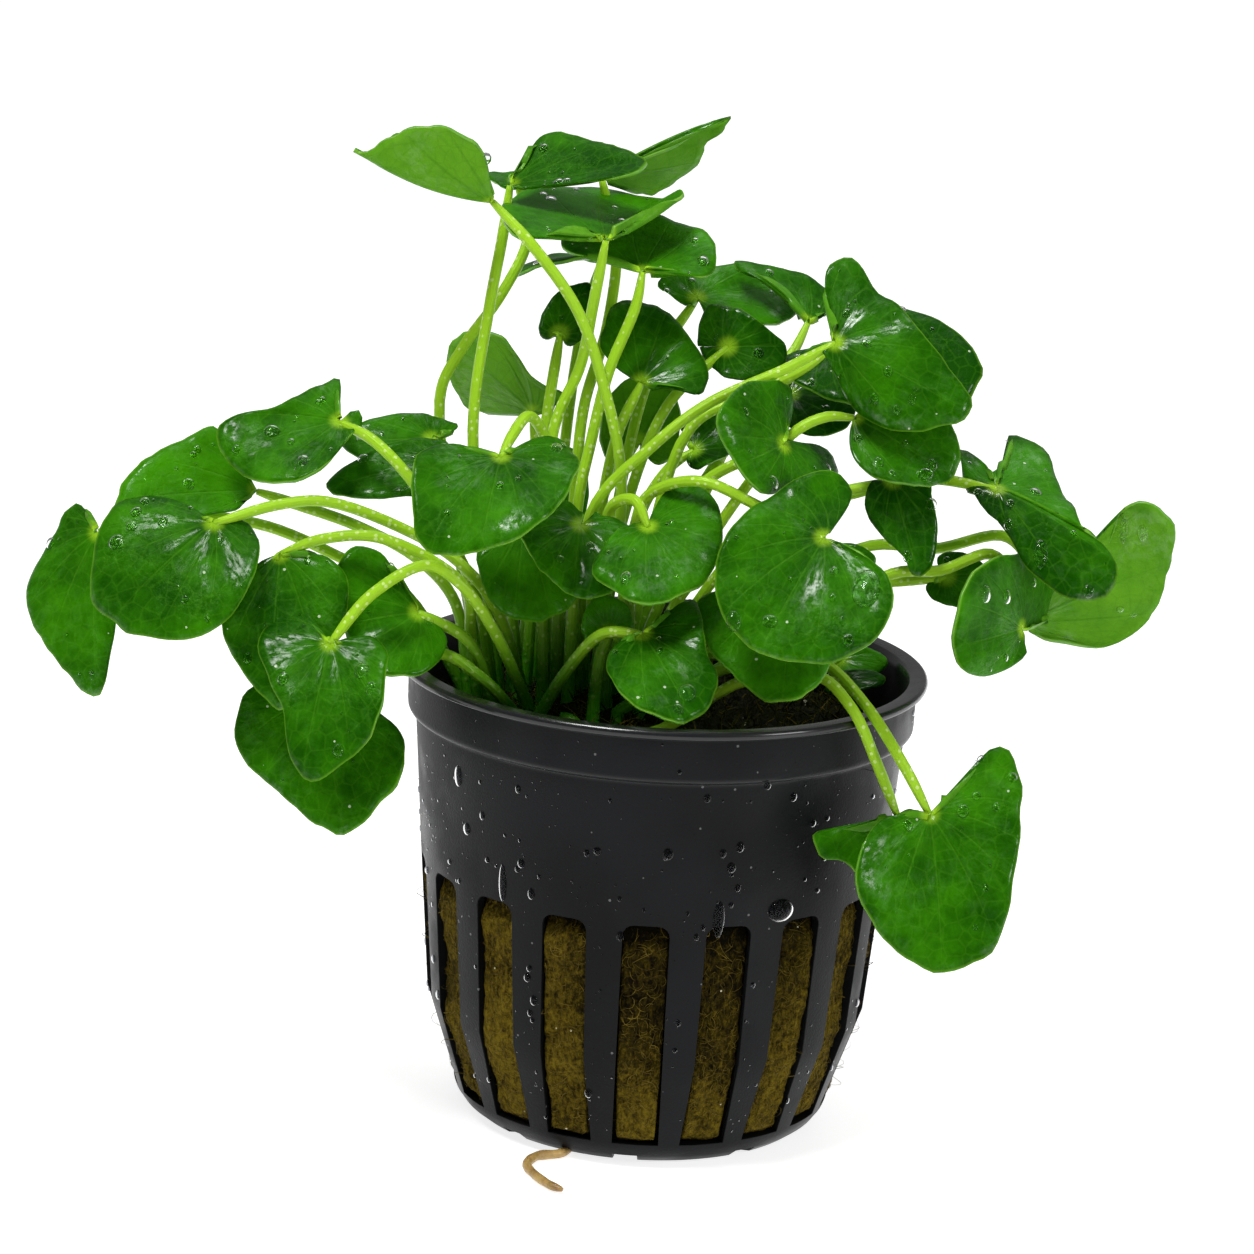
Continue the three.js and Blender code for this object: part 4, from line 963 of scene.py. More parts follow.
def water_material(name, bending, tint):
    """Water that bends light by an index of refraction and lets a tint of it through; a dark tint
    is painted shade.
    """
    material, tree, inputs = new_material(name, Transmission_Weight=1.0, IOR=bending,
                                          Roughness=0.0)
    spots = object_place(tree)
    shade = cloud(tree, spots, 300.0, 2.0, 0.5)
    clear = tuple(0.97 * part for part in tint)
    tree.links.new(mixed(tree, shade, clear, tint), inputs["Base Color"])
    return material


def floor_material(looks):
    """Plain pale floor with a faint gloss."""
    material, tree, inputs = new_material("Floor", Specular_IOR_Level=0.3,
                                          Emission_Color=(1, 1, 1, 1),
                                          Emission_Strength=looks.glow)
    spots = object_place(tree)
    shade = cloud(tree, spots, 6.0, 2.0, 0.5)
    grey = tuple(0.97 * part for part in looks.floor)
    base = mixed(tree, shade, grey, looks.floor)
    tree.links.new(base, inputs["Base Color"])
    tree.links.new(calc(tree, "MULTIPLY_ADD", shade, 0.05, 0.28), inputs["Roughness"])
    return material


# Leaves

def grown_leaf(row):
    """Leaf row with its own axes, length and looks, in millimetres."""
    chance = random.Random(100 + int(row["name"]))
    leaf = {**LEAF_DEFAULTS, "tone": chance.uniform(0.3, 0.6), **row,
            **LEAF_LOOKS.get(row["name"], {})}
    leaf["at"] = Vector(leaf["at"])
    run = Vector(leaf["tip"]) - leaf["at"]
    leaf["length"] = run.length
    leaf["along"] = run.normalized()
    face = Vector(leaf["face"])
    leaf["normal"] = (face - leaf["along"] * face.dot(leaf["along"])).normalized()
    leaf["left"] = leaf["normal"].cross(leaf["along"])
    leaf["phases"] = [chance.uniform(0, math.tau) for _ in range(4)]
    leaf["rim"] = blade_rim(leaf)
    return leaf


def generic_rim(leaf):
    """Rim of a blade from HALF_OUTLINE, with its lobes, as fractions along and across."""
    right = [(u, -v) for u, v in HALF_OUTLINE[-2::-1]]
    first, second = leaf["phases"][2:]
    rim = []
    for u, v in (*HALF_OUTLINE, *right):
        lobe = leaf["lobes"][0 if v > 0 else 1]
        bearing = math.atan2(v, u)
        swell = 1 + 0.03 * math.sin(2 * bearing + first) + 0.025 * math.sin(5 * bearing + second)
        rim.append(Vector((u * (lobe if u < 0 else 1), v, 0)) * swell)
    return rim


def kept_on_blade(u, v):
    """Fractions along and across a blade, held within its farthest reach."""
    return (max(-FARTHEST_LOBE, min(FARTHEST_TIP, u)),
            max(-WIDEST_HALF, min(WIDEST_HALF, v)))


def seen_place(leaf, pixel):
    """Fractions along and across a blade at which a pixel of the photograph meets it."""
    right, above, ahead = camera_axes()
    half, focus = PHOTO_SIDE / 2, PHOTO_SIDE * CAMERA_LENS / CAMERA_SENSOR
    eye = Vector(CAMERA_AIM) - ahead * CAMERA_REACH
    ray = (ahead * focus + right * (pixel[0] - half) + above * (half - pixel[1])).normalized()
    across = ray.cross(above).normalized()
    upward = ray.cross(across)
    spot = eye + ray * ((leaf["at"] - eye).dot(leaf["normal"]) / ray.dot(leaf["normal"]))

    def miss(u, v):
        off = blade_point(leaf, u, v, 0.0) - eye
        return Vector((off.dot(across), off.dot(upward)))

    met = (spot - leaf["at"]).dot(leaf["along"]), (spot - leaf["at"]).dot(leaf["left"])
    u, v = leaf["start"] or (met[0] / leaf["length"], met[1] / (leaf["wide"] / 2))
    step = 0.001
    for _ in range(10):  # Newton steps from the flat blade to the bent one
        u, v = kept_on_blade(u, v)
        here = miss(u, v)
        slopes = Matrix(((miss(u + step, v) - here) / step,
                         (miss(u, v + step) - here) / step)).transposed()
        if abs(slopes.determinant()) < 0.5:
            break
        move = slopes.inverted() @ here
        u, v = u - max(-0.3, min(0.3, move.x)), v - max(-0.3, min(0.3, move.y))
    return Vector((*kept_on_blade(u, v), 0))


def blade_rim(leaf):
    """Evenly spaced rim points of a blade, as fractions along and across."""
    if leaf["name"] in SEEN_RIMS:
        rim = [seen_place(leaf, pixel) for pixel in SEEN_RIMS[leaf["name"]]]
        if leaf["mirrored"]:
            rim += [Vector((point.x, -point.y, 0)) for point in rim[-2::-1]]
    else:
        rim = generic_rim(leaf)
    size = Vector((leaf["length"], leaf["wide"] / 2, 1))
    path = evenly_spaced(smooth_path([point * size for point in rim], 8 * len(rim)), RIM_STEPS)
    edge = []
    for i, point in enumerate(path):
        wave = 1 + RIM_WAVES * noise.noise(Vector((0.2 * i, leaf["phases"][0], 0)))
        edge.append(Vector((point.x / size.x, point.y / size.y)) * wave)
    return edge


def outline_point(leaf, turn):
    """Rim point of a blade, turn going from 0 to 1 round it."""
    place = max(0.0, min(1.0, turn)) * (len(leaf["rim"]) - 1)
    span = min(int(place), len(leaf["rim"]) - 2)
    return leaf["rim"][span].lerp(leaf["rim"][span + 1], place - span)


def blade_point(leaf, u, v, height):
    """Place of a blade point: fractions along and across, and height over the surface."""
    bend = math.radians(leaf["droop"])
    arc = leaf["length"] * bend / (2 * math.sin(bend / 2))
    slope = bend / 2 - bend * u
    blend = max(0.0, min(1.0, 0.5 + v * 2.5))
    fold = math.radians(leaf["fold"][1] + (leaf["fold"][0] - leaf["fold"][1]) * blend)
    across = v * leaf["wide"] / 2
    lift = (math.sqrt(across ** 2 + 0.5) - math.sqrt(0.5)) * math.sin(fold) + height
    x = arc * (math.sin(bend / 2) - math.sin(slope)) / bend - lift * math.sin(slope)
    z = arc * (math.cos(slope) - math.cos(bend / 2)) / bend + lift * math.cos(slope)
    return (leaf["at"] + leaf["along"] * x + leaf["left"] * (across * math.cos(fold))
            + leaf["normal"] * z)


def blade_spot(leaf, u, v, reach, ripple, lift=0.0):
    """Place on the upper side of a blade, with its ripples and curls. reach is 1 at the rim."""
    along, across = u * leaf["length"], v * leaf["wide"] / 2
    bearing = math.atan2(across, along)
    phases = leaf["phases"]
    size = min(1.0, leaf["wide"] / 14)
    height = ripple * size * reach ** 4 * (math.sin(3 * bearing + phases[0])
                                           + 0.6 * math.sin(5 * bearing + phases[1])
                                           + 0.3 * math.sin(11 * bearing + phases[2]))
    height += 0.06 * size * math.sin(math.pi * reach) * math.cos(7 * bearing + phases[3])
    height += leaf["cup"] * size * max(0.0, 0.3 - u) * min(1.0, abs(v) * 2) * 2
    height -= 0.45 * ripple * max(0.0, reach - 0.9) / 0.1
    for centre, spread, amount in leaf["curls"]:
        off = (math.degrees(bearing) - centre + 180) % 360 - 180
        height += amount * math.exp(-(off / spread) ** 2) * max(0.0, reach - 0.3) ** 1.5
    return blade_point(leaf, u, v, height + lift)


def blade_surface(leaf, turn, reach, ripple, lift=0.0):
    """Place on the upper side at a share of the way from the junction to a rim point."""
    u, v = outline_point(leaf, turn) * reach
    return (blade_spot(leaf, u, v, reach, ripple, lift),
            (u * leaf["length"], v * leaf["wide"] / 2, reach))


def rim_share(leaf, u, v):
    """Share of the way from the junction to the rim at which a point of a blade lies."""
    point = Vector((u, v))
    nearest = max(leaf["rim"], key=lambda edge: edge.normalized().dot(point.normalized()))
    return min(0.97, point.length / nearest.length)


def add_blade(bm, leaf, looks):
    """Blade of a leaf: a fan of quads from the junction, given its thickness."""
    place_layer = bm.verts.layers.float_vector["leaf_place"]
    thick = looks.thickness / MM
    made = bmesh.ops.create_grid(bm, x_segments=BLADE_COLUMNS, y_segments=BLADE_ROWS,
                                 size=1)["verts"]
    for i, vert in enumerate(made):
        row, column = divmod(i, BLADE_COLUMNS + 1)
        spot, place = blade_surface(leaf, column / BLADE_COLUMNS, (row / BLADE_ROWS) ** 0.85,
                                    looks.ripple / MM, thick / 2)
        vert.co = spot * MM
        vert[place_layer] = place
    bmesh.ops.remove_doubles(bm, verts=made, dist=1e-7)
    faces = bm.faces[:]
    bm.normal_update()
    middle = sum((face.normal * face.calc_area() for face in faces), Vector())
    if middle.dot(leaf["normal"]) < 0:
        bmesh.ops.reverse_faces(bm, faces=faces)
        bm.normal_update()
    copied = bmesh.ops.duplicate(bm, geom=faces)["geom"]
    under = [item for item in copied if isinstance(item, bmesh.types.BMFace)]
    for vert in {vert for face in under for vert in face.verts}:
        vert.co -= vert.normal * looks.thickness
    bmesh.ops.reverse_faces(bm, faces=under)
    for face in under:
        face.material_index = 1
    margin = [edge for edge in bm.edges if edge.is_boundary]
    for face in bmesh.ops.bridge_loops(bm, edges=margin)["faces"]:
        face.material_index = 2


def stalk_path(leaf):
    """Points of a stalk from inside the moss to the blade, in millimetres."""
    ring, step = leaf["place"]
    angle = math.radians(step * 60 / ring) if ring else 0.0
    x = CROWN_X + ring * CROWN_STEP * math.cos(angle)
    y = CROWN_Y + ring * CROWN_STEP * math.sin(angle)
    foot = Vector((x, y, moss_height(x, y) + 1.0))
    bends = [Vector(point) for point in leaf["bends"]]
    if not bends:
        reach = leaf["at"] - foot
        bends = [foot + Vector((0.12 * reach.x, 0.12 * reach.y, 0.4 * reach.z)),
                 foot + Vector((0.5 * reach.x, 0.5 * reach.y, 0.82 * reach.z))]
    path = smooth_path([foot, *bends, leaf["at"]], STALK_STEPS)
    return [path[0] - Vector((0, 0, 2.6)), path[0] - Vector((0, 0, 1.2)), *path]


def add_stalk(bm, leaf, looks):
    """Round stalk of a leaf, thicker at its foot and slimmer under the blade."""
    place_layer = bm.verts.layers.float_vector["leaf_place"]
    path = stalk_path(leaf)
    axes = carried_frames(path)
    sides = STALK_SIDES
    radius = looks.stalk_radius / MM
    lengths = run_lengths(path)

    def place(column, row):
        share = lengths[row] / lengths[-1]
        girth = radius * (1 + 0.3 * math.exp(-lengths[row] / 5)
                          - 0.42 * max(0.0, (share - 0.9) / 0.1) ** 2)
        return ring_point(path[row], axes[row], girth, math.tau * column / sides) * MM

    made = wrapped_grid(bm, sides, len(path) - 1, place)
    for i, vert in enumerate(made):
        row, column = divmod(i, sides + 1)
        turn = math.tau * column / sides
        vert[place_layer] = (lengths[row], math.cos(turn), math.sin(turn))
    faces = {face for vert in made for face in vert.link_faces}
    bmesh.ops.remove_doubles(bm, verts=made, dist=1e-7)
    faces = [face for face in faces if face.is_valid]
    ends = [edge for face in faces for edge in face.edges if edge.is_boundary]
    caps = bmesh.ops.holes_fill(bm, edges=list(set(ends)), sides=sides)["faces"]
    tube = [*faces, *caps]
    bmesh.ops.recalc_face_normals(bm, faces=tube)
    for face in tube:
        face.material_index = 3


def build_leaves(looks):
    """Every leaf as one piece of blade and stalk."""
    materials = [leaf_upper_material(looks), leaf_under_material(looks),
                 leaf_rim_material(looks), stalk_material(looks)]
    for row in LEAVES:
        leaf = grown_leaf(row)
        bm = bmesh.new()
        bm.verts.layers.float_vector.new("leaf_place")
        add_blade(bm, leaf, looks)
        add_stalk(bm, leaf, looks)
        tone, wet = (bm.verts.layers.float.new("leaf_" + look) for look in ("tone", "wet"))
        place = bm.verts.layers.float_vector["leaf_place"]
        for vert in bm.verts:
            # The turn adds painted light: one half of the blade is painted lighter than the other.
            vert[tone] = leaf["tone"] + leaf["turn"] * max(-0.5, min(0.5, vert[place].y))
            vert[wet] = leaf["wet"]
        name = "leaf_" + leaf["name"]
        finish_mesh(bm, "plant_" + name, materials, (name,), outward=False)


# Pot

def pot_rows():
    """Rows of the pot's closed profile: radius, height and part of the pot."""
    rows = [(0.0, 0.0, "floor"), (DRAIN_START, 0.0, "floor"), (13.0, 0.0, "floor")]
    rows += [(radius, height, "foot") for radius, height in FOOT_ROUND]
    rows += [(along_stations(OUTER_WALL, height), height, "wall") for height in WALL_HEIGHTS]
    rows += [(radius, height, "wall") for radius, height in (*BAND_ROUND, *LIP_ROUND)]
    rows += [(along_stations(INNER_WALL, height), height, "inside")
             for height in (45.0, *WALL_HEIGHTS[::-1], SLOT_BOTTOM)]
    rows += [(18.3, FLOOR_TOP + 0.1, "base"), (17.4, FLOOR_TOP, "base"), (13.0, FLOOR_TOP, "base"),
             (DRAIN_START, FLOOR_TOP, "base"), (0.0, FLOOR_TOP, "base")]
    return rows


def opening_half_width(radius, height, floor):
    """Half width of a slot or drain at a place of the pot."""
    if floor:
        return min(DRAIN_WIDTH / 2, radius * 0.95)
    half = SLOT_WIDTH / 2
    over = height - (SLOT_TOP - SLOT_CORNER)
    if 0 < over <= SLOT_CORNER:
        half += math.sqrt(max(0.0, SLOT_CORNER ** 2 - over ** 2)) - SLOT_CORNER
    return half


def pot_place(rows, column, row):
    """Place of a column and row of the pot's shell, its columns gathered to the openings."""
    radius, height, part = rows[row]
    floor = part in ("floor", "base") or (part == "foot" and height <= DRAIN_END)
    half = opening_half_width(radius, height, floor)
    edge = math.degrees(math.asin(min(0.99, half / radius))) if radius else 5.0
    edge = min(edge, 9.0)
    first, second = (SLOT_STEP + edge) / 3, (SLOT_STEP / 2 + 2 * edge) / 3
    steps = (-SLOT_STEP / 2, -first, -second, -edge, -edge / 2, 0.0, edge / 2, edge, second,
             first)
    slot, within = divmod(column, COLUMNS_PER_SLOT)
    turn = SLOT_FIRST_ANGLE + SLOT_STEP * slot + steps[within]
    turn = math.radians(turn + (DRAIN_TURN if floor else 0.0))
    return Vector((radius * math.cos(turn), radius * math.sin(turn), height)) * MM


def opening_faces(bm, rows, columns):
    """Faces of the pot's shell that make room for each slot and each drain."""
    bm.verts.index_update()
    openings = {}
    for face in bm.faces:
        indexes = [vert.index for vert in face.verts]
        row = min(index // (columns + 1) for index in indexes)
        slot, within = divmod(min(index % (columns + 1) for index in indexes), COLUMNS_PER_SLOT)
        if not 3 <= within <= 6:  # only the middle columns open
            continue
        low, high = rows[row], rows[row + 1]
        heights = sorted((low[1], high[1]))
        upright = low[2] in ("wall", "inside", "foot") and high[2] in ("wall", "inside", "foot")
        flat = min(low[0], high[0]) >= DRAIN_START and heights[1] <= FLOOR_TOP + 0.11
        if upright and heights[0] >= SLOT_BOTTOM and heights[1] <= SLOT_TOP:
            openings.setdefault(("slot", slot), []).append(face)
        elif slot % 2 == 0 and flat and (not upright or heights[1] <= DRAIN_END):
            openings.setdefault(("drain", slot), []).append(face)
    return list(openings.values())


def cut_openings(bm, openings):
    """Take away the faces of each opening and bridge its outer and inner rim."""
    rims = []
    for faces in openings:
        chosen = set(faces)
        rims.append([edge for face in faces for edge in face.edges
                     if any(other not in chosen for other in edge.link_faces)])
    bmesh.ops.delete(bm, geom=[face for faces in openings for face in faces], context="FACES")
    for rim in rims:
        bmesh.ops.bridge_loops(bm, edges=[edge for edge in rim if edge.is_valid])
    bmesh.ops.remove_doubles(bm, verts=bm.verts[:], dist=1e-6)
    loose = [vert for vert in bm.verts if not vert.link_faces]
    bmesh.ops.delete(bm, geom=loose, context="VERTS")


def build_pot(looks):
    """Slotted net pot: a closed turned shell whose slots and drains are cut and bridged."""
    rows = pot_rows()
    columns = COLUMNS_PER_SLOT * SLOT_COUNT
    bm = bmesh.new()
    wrapped_grid(bm, columns, len(rows) - 1, lambda column, row: pot_place(rows, column, row))
    cut_openings(bm, opening_faces(bm, rows, columns))
    pot = finish_mesh(bm, "pot_shell", [pot_material(looks)], ("net_pot",))
    pot.data.set_sharp_from_angle(angle=SHARP_ANGLE)
    bevel = pot.modifiers.new("Soft edges", "BEVEL")
    bevel.width = looks.edge_round
    bevel.segments = 2
    bevel.limit_method = "ANGLE"
    bevel.angle_limit = SHARP_ANGLE


# Filling

def wool_bulge(angle, height):
    """How far the wool swells at a place: 1 in the middle of a slot, 0 behind a rib."""
    half = SLOT_STEP / 2
    off = abs((math.degrees(angle) - SLOT_FIRST_ANGLE + half) % SLOT_STEP - half)
    side = min(1.0, max(0.0, (SLOT_HALF_ANGLE - off) / 0.6))
    rise = min(1.0, max(0.0, (height - SLOT_BOTTOM + 0.2) / 0.8),
               max(0.0, (SLOT_TOP - height) / 2.5))
    return side * rise


def wool_radius(angle, height):
    """Radius of the wool's surface with its lumps and pits, in millimetres."""
    radius = along_stations(INNER_WALL, height) - CLEARANCE
    spot = Vector((radius * math.cos(angle), radius * math.sin(angle), height))
    lumps = noise.noise(spot * 0.22) * 0.5 + noise.noise(spot * 0.8) * 0.28
    pits = noise.turbulence(spot * 1.9, 3, False) * 0.3
    swell = wool_bulge(angle, height)
    return radius - 0.15 - 0.3 * pits + swell * (0.95 + lumps) - 0.15 * (1 - swell)


def wool_fibres(count):
    """Loose fibres on the wool in the slots, each a list of points and a radius."""
    chance = random.Random(7)
    strands = []
    while len(strands) < count:
        angle, height = chance.uniform(0, math.tau), chance.uniform(WOOL_BOTTOM + 1, SLOT_TOP + 1)
        if chance.random() > wool_bulge(angle, height) + 0.05:
            continue
        radius = wool_radius(angle, height)
        size = chance.uniform(0.8, 2.6)
        way = chance.uniform(0, math.tau)
        curl = chance.uniform(-1.6, 1.6)
        bow = chance.uniform(0.05, 0.3) if chance.random() > 0.05 else chance.uniform(0.6, 1.5)
        points = []
        for i in range(6):
            share = i / 5
            heading = way + curl * share
            run = size * (share - 0.5)
            turn = angle + run * math.cos(heading) / radius
            rise = height + run * math.sin(heading)
            out = wool_radius(turn, rise) + bow * math.sin(math.pi * share) - 0.05
            out = min(out, along_stations(OUTER_WALL, rise) + 1.1)
            points.append(Vector((out * math.cos(turn), out * math.sin(turn), rise)) * MM)
        strands.append((points, chance.uniform(0.018, 0.05) * MM))
    return strands


def build_rockwool(looks):
    """Plug of rockwool that swells into the slots, with its loose fibres."""
    steps = (-10.0, -8.0, -6.2, -5.5, -4.7, -3.8, -2.9, -1.9, -0.9, 0.0, 0.9, 1.9, 2.9, 3.8, 4.7,
             5.5, 6.2, 8.0)
    columns, sides = len(steps) * SLOT_COUNT, 92
    bm = bmesh.new()
    layer = bm.verts.layers.float.new("wool_bulge")
    rows = [("bottom", share) for share in (0.0, 0.35, 0.7, 0.93)]
    rows += [("side", i / sides) for i in range(sides + 1)]
    rows += [("top", share) for share in (0.93, 0.6, 0.3, 0.0)]

    def place(column, row):
        part, share = rows[row]
        slot, step = divmod(column, len(steps))
        angle = math.radians(SLOT_FIRST_ANGLE + SLOT_STEP * slot + steps[step])
        height = {"bottom": WOOL_BOTTOM, "top": WOOL_TOP}.get(part)
        if height is None:
            height = WOOL_BOTTOM + share * (WOOL_TOP - WOOL_BOTTOM)
            radius = wool_radius(angle, height)
        else:
            radius = share * (along_stations(INNER_WALL, height) - 2 * CLEARANCE)
        return Vector((radius * math.cos(angle), radius * math.sin(angle), height)) * MM

    made = wrapped_grid(bm, columns, len(rows) - 1, place)
    # How far each point lies out, stored for the material's painted shade in the hollows and
    # painted light on the bulges.
    for vert in made:
        angle, height = math.atan2(vert.co.y, vert.co.x), vert.co.z / MM
        rest = along_stations(INNER_WALL, height) - CLEARANCE
        vert[layer] = max(0.0, min(1.0, (vert.co.xy.length / MM - rest + 0.4) / 1.1))
    bmesh.ops.remove_doubles(bm, verts=bm.verts[:], dist=1e-7)
    finish_mesh(bm, "rockwool", [wool_material(looks)], ("rockwool_plug",))

    material = strand_material("Rockwool fibre", looks.wool, looks.fibre, 0.6)
    finish_strands("rockwool_fibres", wool_fibres(looks.fibre_count), material)


def moss_strands(rim, count):
    """Tufts of moss within a radius, as many as count, and the dry threads among them."""
    chance = random.Random(11)
    tufts, threads = [], []
    while len(tufts) < count:
        radius, angle = rim * math.sqrt(chance.random()) - 0.4, chance.uniform(0, math.tau)
        x, y = radius * math.cos(angle), radius * math.sin(angle)
        base = Vector((x, y, moss_height(x, y) - 0.5))
        lean = Vector((chance.uniform(-1, 1), chance.uniform(-1, 1), chance.uniform(0.3, 1.4)))
        size = chance.uniform(0.9, 2.3)
        bent = Vector((chance.uniform(-1, 1), chance.uniform(-1, 1), -0.3))
        points = [(base + (lean * share + bent * share ** 2 * 0.6) * size) * MM
                  for share in (0, 0.4, 0.7, 1)]
        holder = threads if chance.random() < 0.14 else tufts
        holder.append((points, chance.uniform(0.05, 0.13) * MM))
    return tufts, threads


def build_moss(looks):
    """Mound of moss and wet soil, with strands of moss and dry threads."""
    columns = 150
    rim = along_stations(INNER_WALL, MOSS_RIM_HEIGHT) - CLEARANCE
    low = along_stations(INNER_WALL, MOSS_BOTTOM) - CLEARANCE
    rows = [(0.0, MOSS_BOTTOM), (low * 0.5, MOSS_BOTTOM), (low, MOSS_BOTTOM),
            (rim, MOSS_RIM_HEIGHT)]
    rows += [(rim * share / 44, None) for share in range(43, -1, -1)]

    def place(column, row):
        radius, height = rows[row]
        angle = math.tau * column / columns
        x, y = radius * math.cos(angle), radius * math.sin(angle)
        if height is None:
            spot = Vector((x, y, 0))
            height = moss_height(x, y) + 0.9 * noise.noise(spot * 0.45)
            height += 0.5 * noise.noise(spot * 1.4)
            height += 0.35 * noise.turbulence(spot * 2.6, 2, False)
            height -= 0.9 * max(0.0, radius - rim + 2.0) / 2.0
        return Vector((x, y, height)) * MM

    bm = bmesh.new()
    wrapped_grid(bm, columns, len(rows) - 1, place)
    bmesh.ops.remove_doubles(bm, verts=bm.verts[:], dist=1e-7)
    finish_mesh(bm, "moss", [moss_material(looks)], ("moss_mound",))

    tufts, threads = moss_strands(rim, looks.tuft_count)
    moss_strand = strand_material("Moss strand", looks.soil, looks.moss_light, 0.7)
    finish_strands("moss_tufts", tufts, moss_strand)
    dry_strand = strand_material("Dry strand", looks.moss_light, looks.fibre, 0.7)
    finish_strands("dry_threads", threads, dry_strand)


def build_root(looks):
    """Root that has grown out under the pot."""
    path = smooth_path([Vector(point) for point in ROOT_ROUTE], 48)
    axes = carried_frames(path)
    sides = 12

    def place(column, row):
        share = row / (len(path) - 1)
        knot = 1 + 0.12 * noise.noise(path[row] * 0.9)
        girth = looks.root_radius / MM * knot * (1 - 0.55 * max(0.0, (share - 0.85) / 0.15) ** 2)
        spot = ring_point(path[row], axes[row], girth, math.tau * column / sides)
        return Vector((spot.x, spot.y, max(0.02, spot.z))) * MM

    bm = bmesh.new()
    wrapped_grid(bm, sides, len(path) - 1, place)
    bmesh.ops.remove_doubles(bm, verts=bm.verts[:], dist=1e-7)
    bmesh.ops.holes_fill(bm, edges=bm.edges[:], sides=sides)
    finish_mesh(bm, "root_shoot", [root_material(looks)], ("root",))


# Water

def scatter_drops(bm, leaf, looks):
    """Small beads of water at chance places of a blade's upper side."""
    chance = random.Random(500 + int(leaf["name"]))
    count = round(looks.leaf_drops * leaf["length"] * leaf["wide"] / 200)
    for _ in range(count):
        turn, reach = chance.uniform(0.08, 0.92), math.sqrt(chance.uniform(0.04, 0.85))
        spot, ahead, aside = (
            blade_surface(leaf, turn + round_by, reach + out_by, BEAD_RIPPLE, BEAD_LIFT)[0]
            for round_by, out_by in ((0, 0), (0, 0.02), (0.01, 0)))
        normal = (ahead - spot).cross(aside - spot)
        if normal.length < 1e-9:
            continue
        if normal.dot(leaf["normal"]) < 0:
            normal.negate()
        width = looks.drop_size / MM * (0.35 + 1.3 * chance.random() ** 3)
        add_drop(bm, spot, normal, width, width * chance.uniform(1.0, 1.35), width * 0.3)


def lay_large_drops(bm, leaf):
    """Large beads of water on a blade, on the side of it that the camera sees."""
    side = 1 if leaf["normal"].dot(camera_axes()[2]) < 0 else -1
    for x, y, width, length in LEAF_BEADS.get(leaf["name"], ()):
        u, v, _ = seen_place(leaf, (x, y))
        reach = rim_share(leaf, u, v)
        spot, ahead, aside = (
            blade_spot(leaf, u + along, v + across, reach, BEAD_RIPPLE, BEAD_LIFT * side)
            for along, across in ((0, 0), (0.02, 0), (0, 0.02)))
        normal = (ahead - spot).cross(aside - spot) * side
        add_drop(bm, spot, normal, width, length, width * 0.27, 3)


def add_pot_drop(bm, angle, height, width, length, depth, detail):
    """Bead of water on the wall or the band of the pot."""
    radius = along_stations(OUTER_WALL, height) if height < BAND_FOOT else BAND_RADIUS
    normal = Vector((math.cos(angle), math.sin(angle), -0.04))
    centre = Vector((radius * normal.x, radius * normal.y, height))
    add_drop(bm, centre, normal, width, length, depth, detail)


def build_water(looks):
    """Beads of water on the leaves and on the pot."""
    water = water_material("Water on leaves", bending=1.18, tint=(0.95, 1.0, 0.95))
    bm = bmesh.new()
    for row in LEAVES:
        leaf = grown_leaf(row)
        scatter_drops(bm, leaf, looks)
        lay_large_drops(bm, leaf)
    finish_mesh(bm, "leaf_drops", [water], outward=False)

    # The dark tint is painted shade that makes the beads look dark on the black plastic.
    water = water_material("Water on plastic", bending=1.15, tint=(0.3, 0.31, 0.33))
    bm = bmesh.new()
    chance = random.Random(900)
    placed = 0
    while placed < looks.pot_drops:
        height, angle = chance.uniform(4, 49), chance.uniform(0, math.tau)
        if wool_bulge(angle, height) > 0 or BAND_FOOT - 0.2 < height < BAND_FOOT + 1.8:
            continue
        width = 0.16 + 0.8 * chance.random() ** 8
        add_pot_drop(bm, angle, height, width, width * chance.uniform(1.0, 1.5), width * 0.3,
                     1 if width < 0.3 else 2)
        placed += 1
    for angle, height, width, length in POT_BEADS:
        add_pot_drop(bm, math.radians(angle), height, width, length, width * 0.26, 3)
    finish_mesh(bm, "pot_drops", [water], outward=False)


# Stage

def build_stage(looks):
    """Pale floor, soft studio light and the camera."""
    bm = bmesh.new()
    bmesh.ops.create_grid(bm, x_segments=8, y_segments=8, size=looks.floor_size / 2)
    mesh = bpy.data.meshes.new("floor")
    bm.to_mesh(mesh)
    bm.free()
    mesh.materials.append(floor_material(looks))
    floor = bpy.data.objects.new("floor", mesh)
    bpy.context.collection.objects.link(floor)

    world = bpy.data.worlds.new("Studio")
    bpy.context.scene.world = world
    world.use_nodes = True
    background = world.node_tree.nodes["Background"]
    background.inputs["Color"].default_value = (1, 1, 1, 1)
    background.inputs["Strength"].default_value = looks.sky

    target = Vector((0, 0, 0.06))
    for name, spot, size, power in (("key", (-0.35, -0.35, 1.1), 0.35, looks.key),
                                    ("fill", (0.9, -0.6, 0.5), 0.35, looks.fill),
                                    ("back", (0.1, 0.45, 1.2), 0.9, looks.back)):
        lamp = bpy.data.lights.new(name, "AREA")
        lamp.energy = power
        lamp.size = size
        light = bpy.data.objects.new(name, lamp)
        light.location = spot
        light.rotation_euler = (target - Vector(spot)).to_track_quat("-Z", "Y").to_euler()
        bpy.context.collection.objects.link(light)

    right, above, ahead = camera_axes()
    lens = bpy.data.cameras.new("camera")
    lens.sensor_width = CAMERA_SENSOR
    lens.lens = CAMERA_LENS
    lens.clip_start = 0.01
    camera = bpy.data.objects.new("camera", lens)
    turned = Matrix((right, above, -ahead)).transposed().to_4x4()
    turned.translation = (Vector(CAMERA_AIM) - ahead * CAMERA_REACH) * MM
    camera.matrix_world = turned
    bpy.context.collection.objects.link(camera)
    bpy.context.scene.camera = camera
    bpy.context.scene.view_settings.view_transform = "Standard"


# Settings

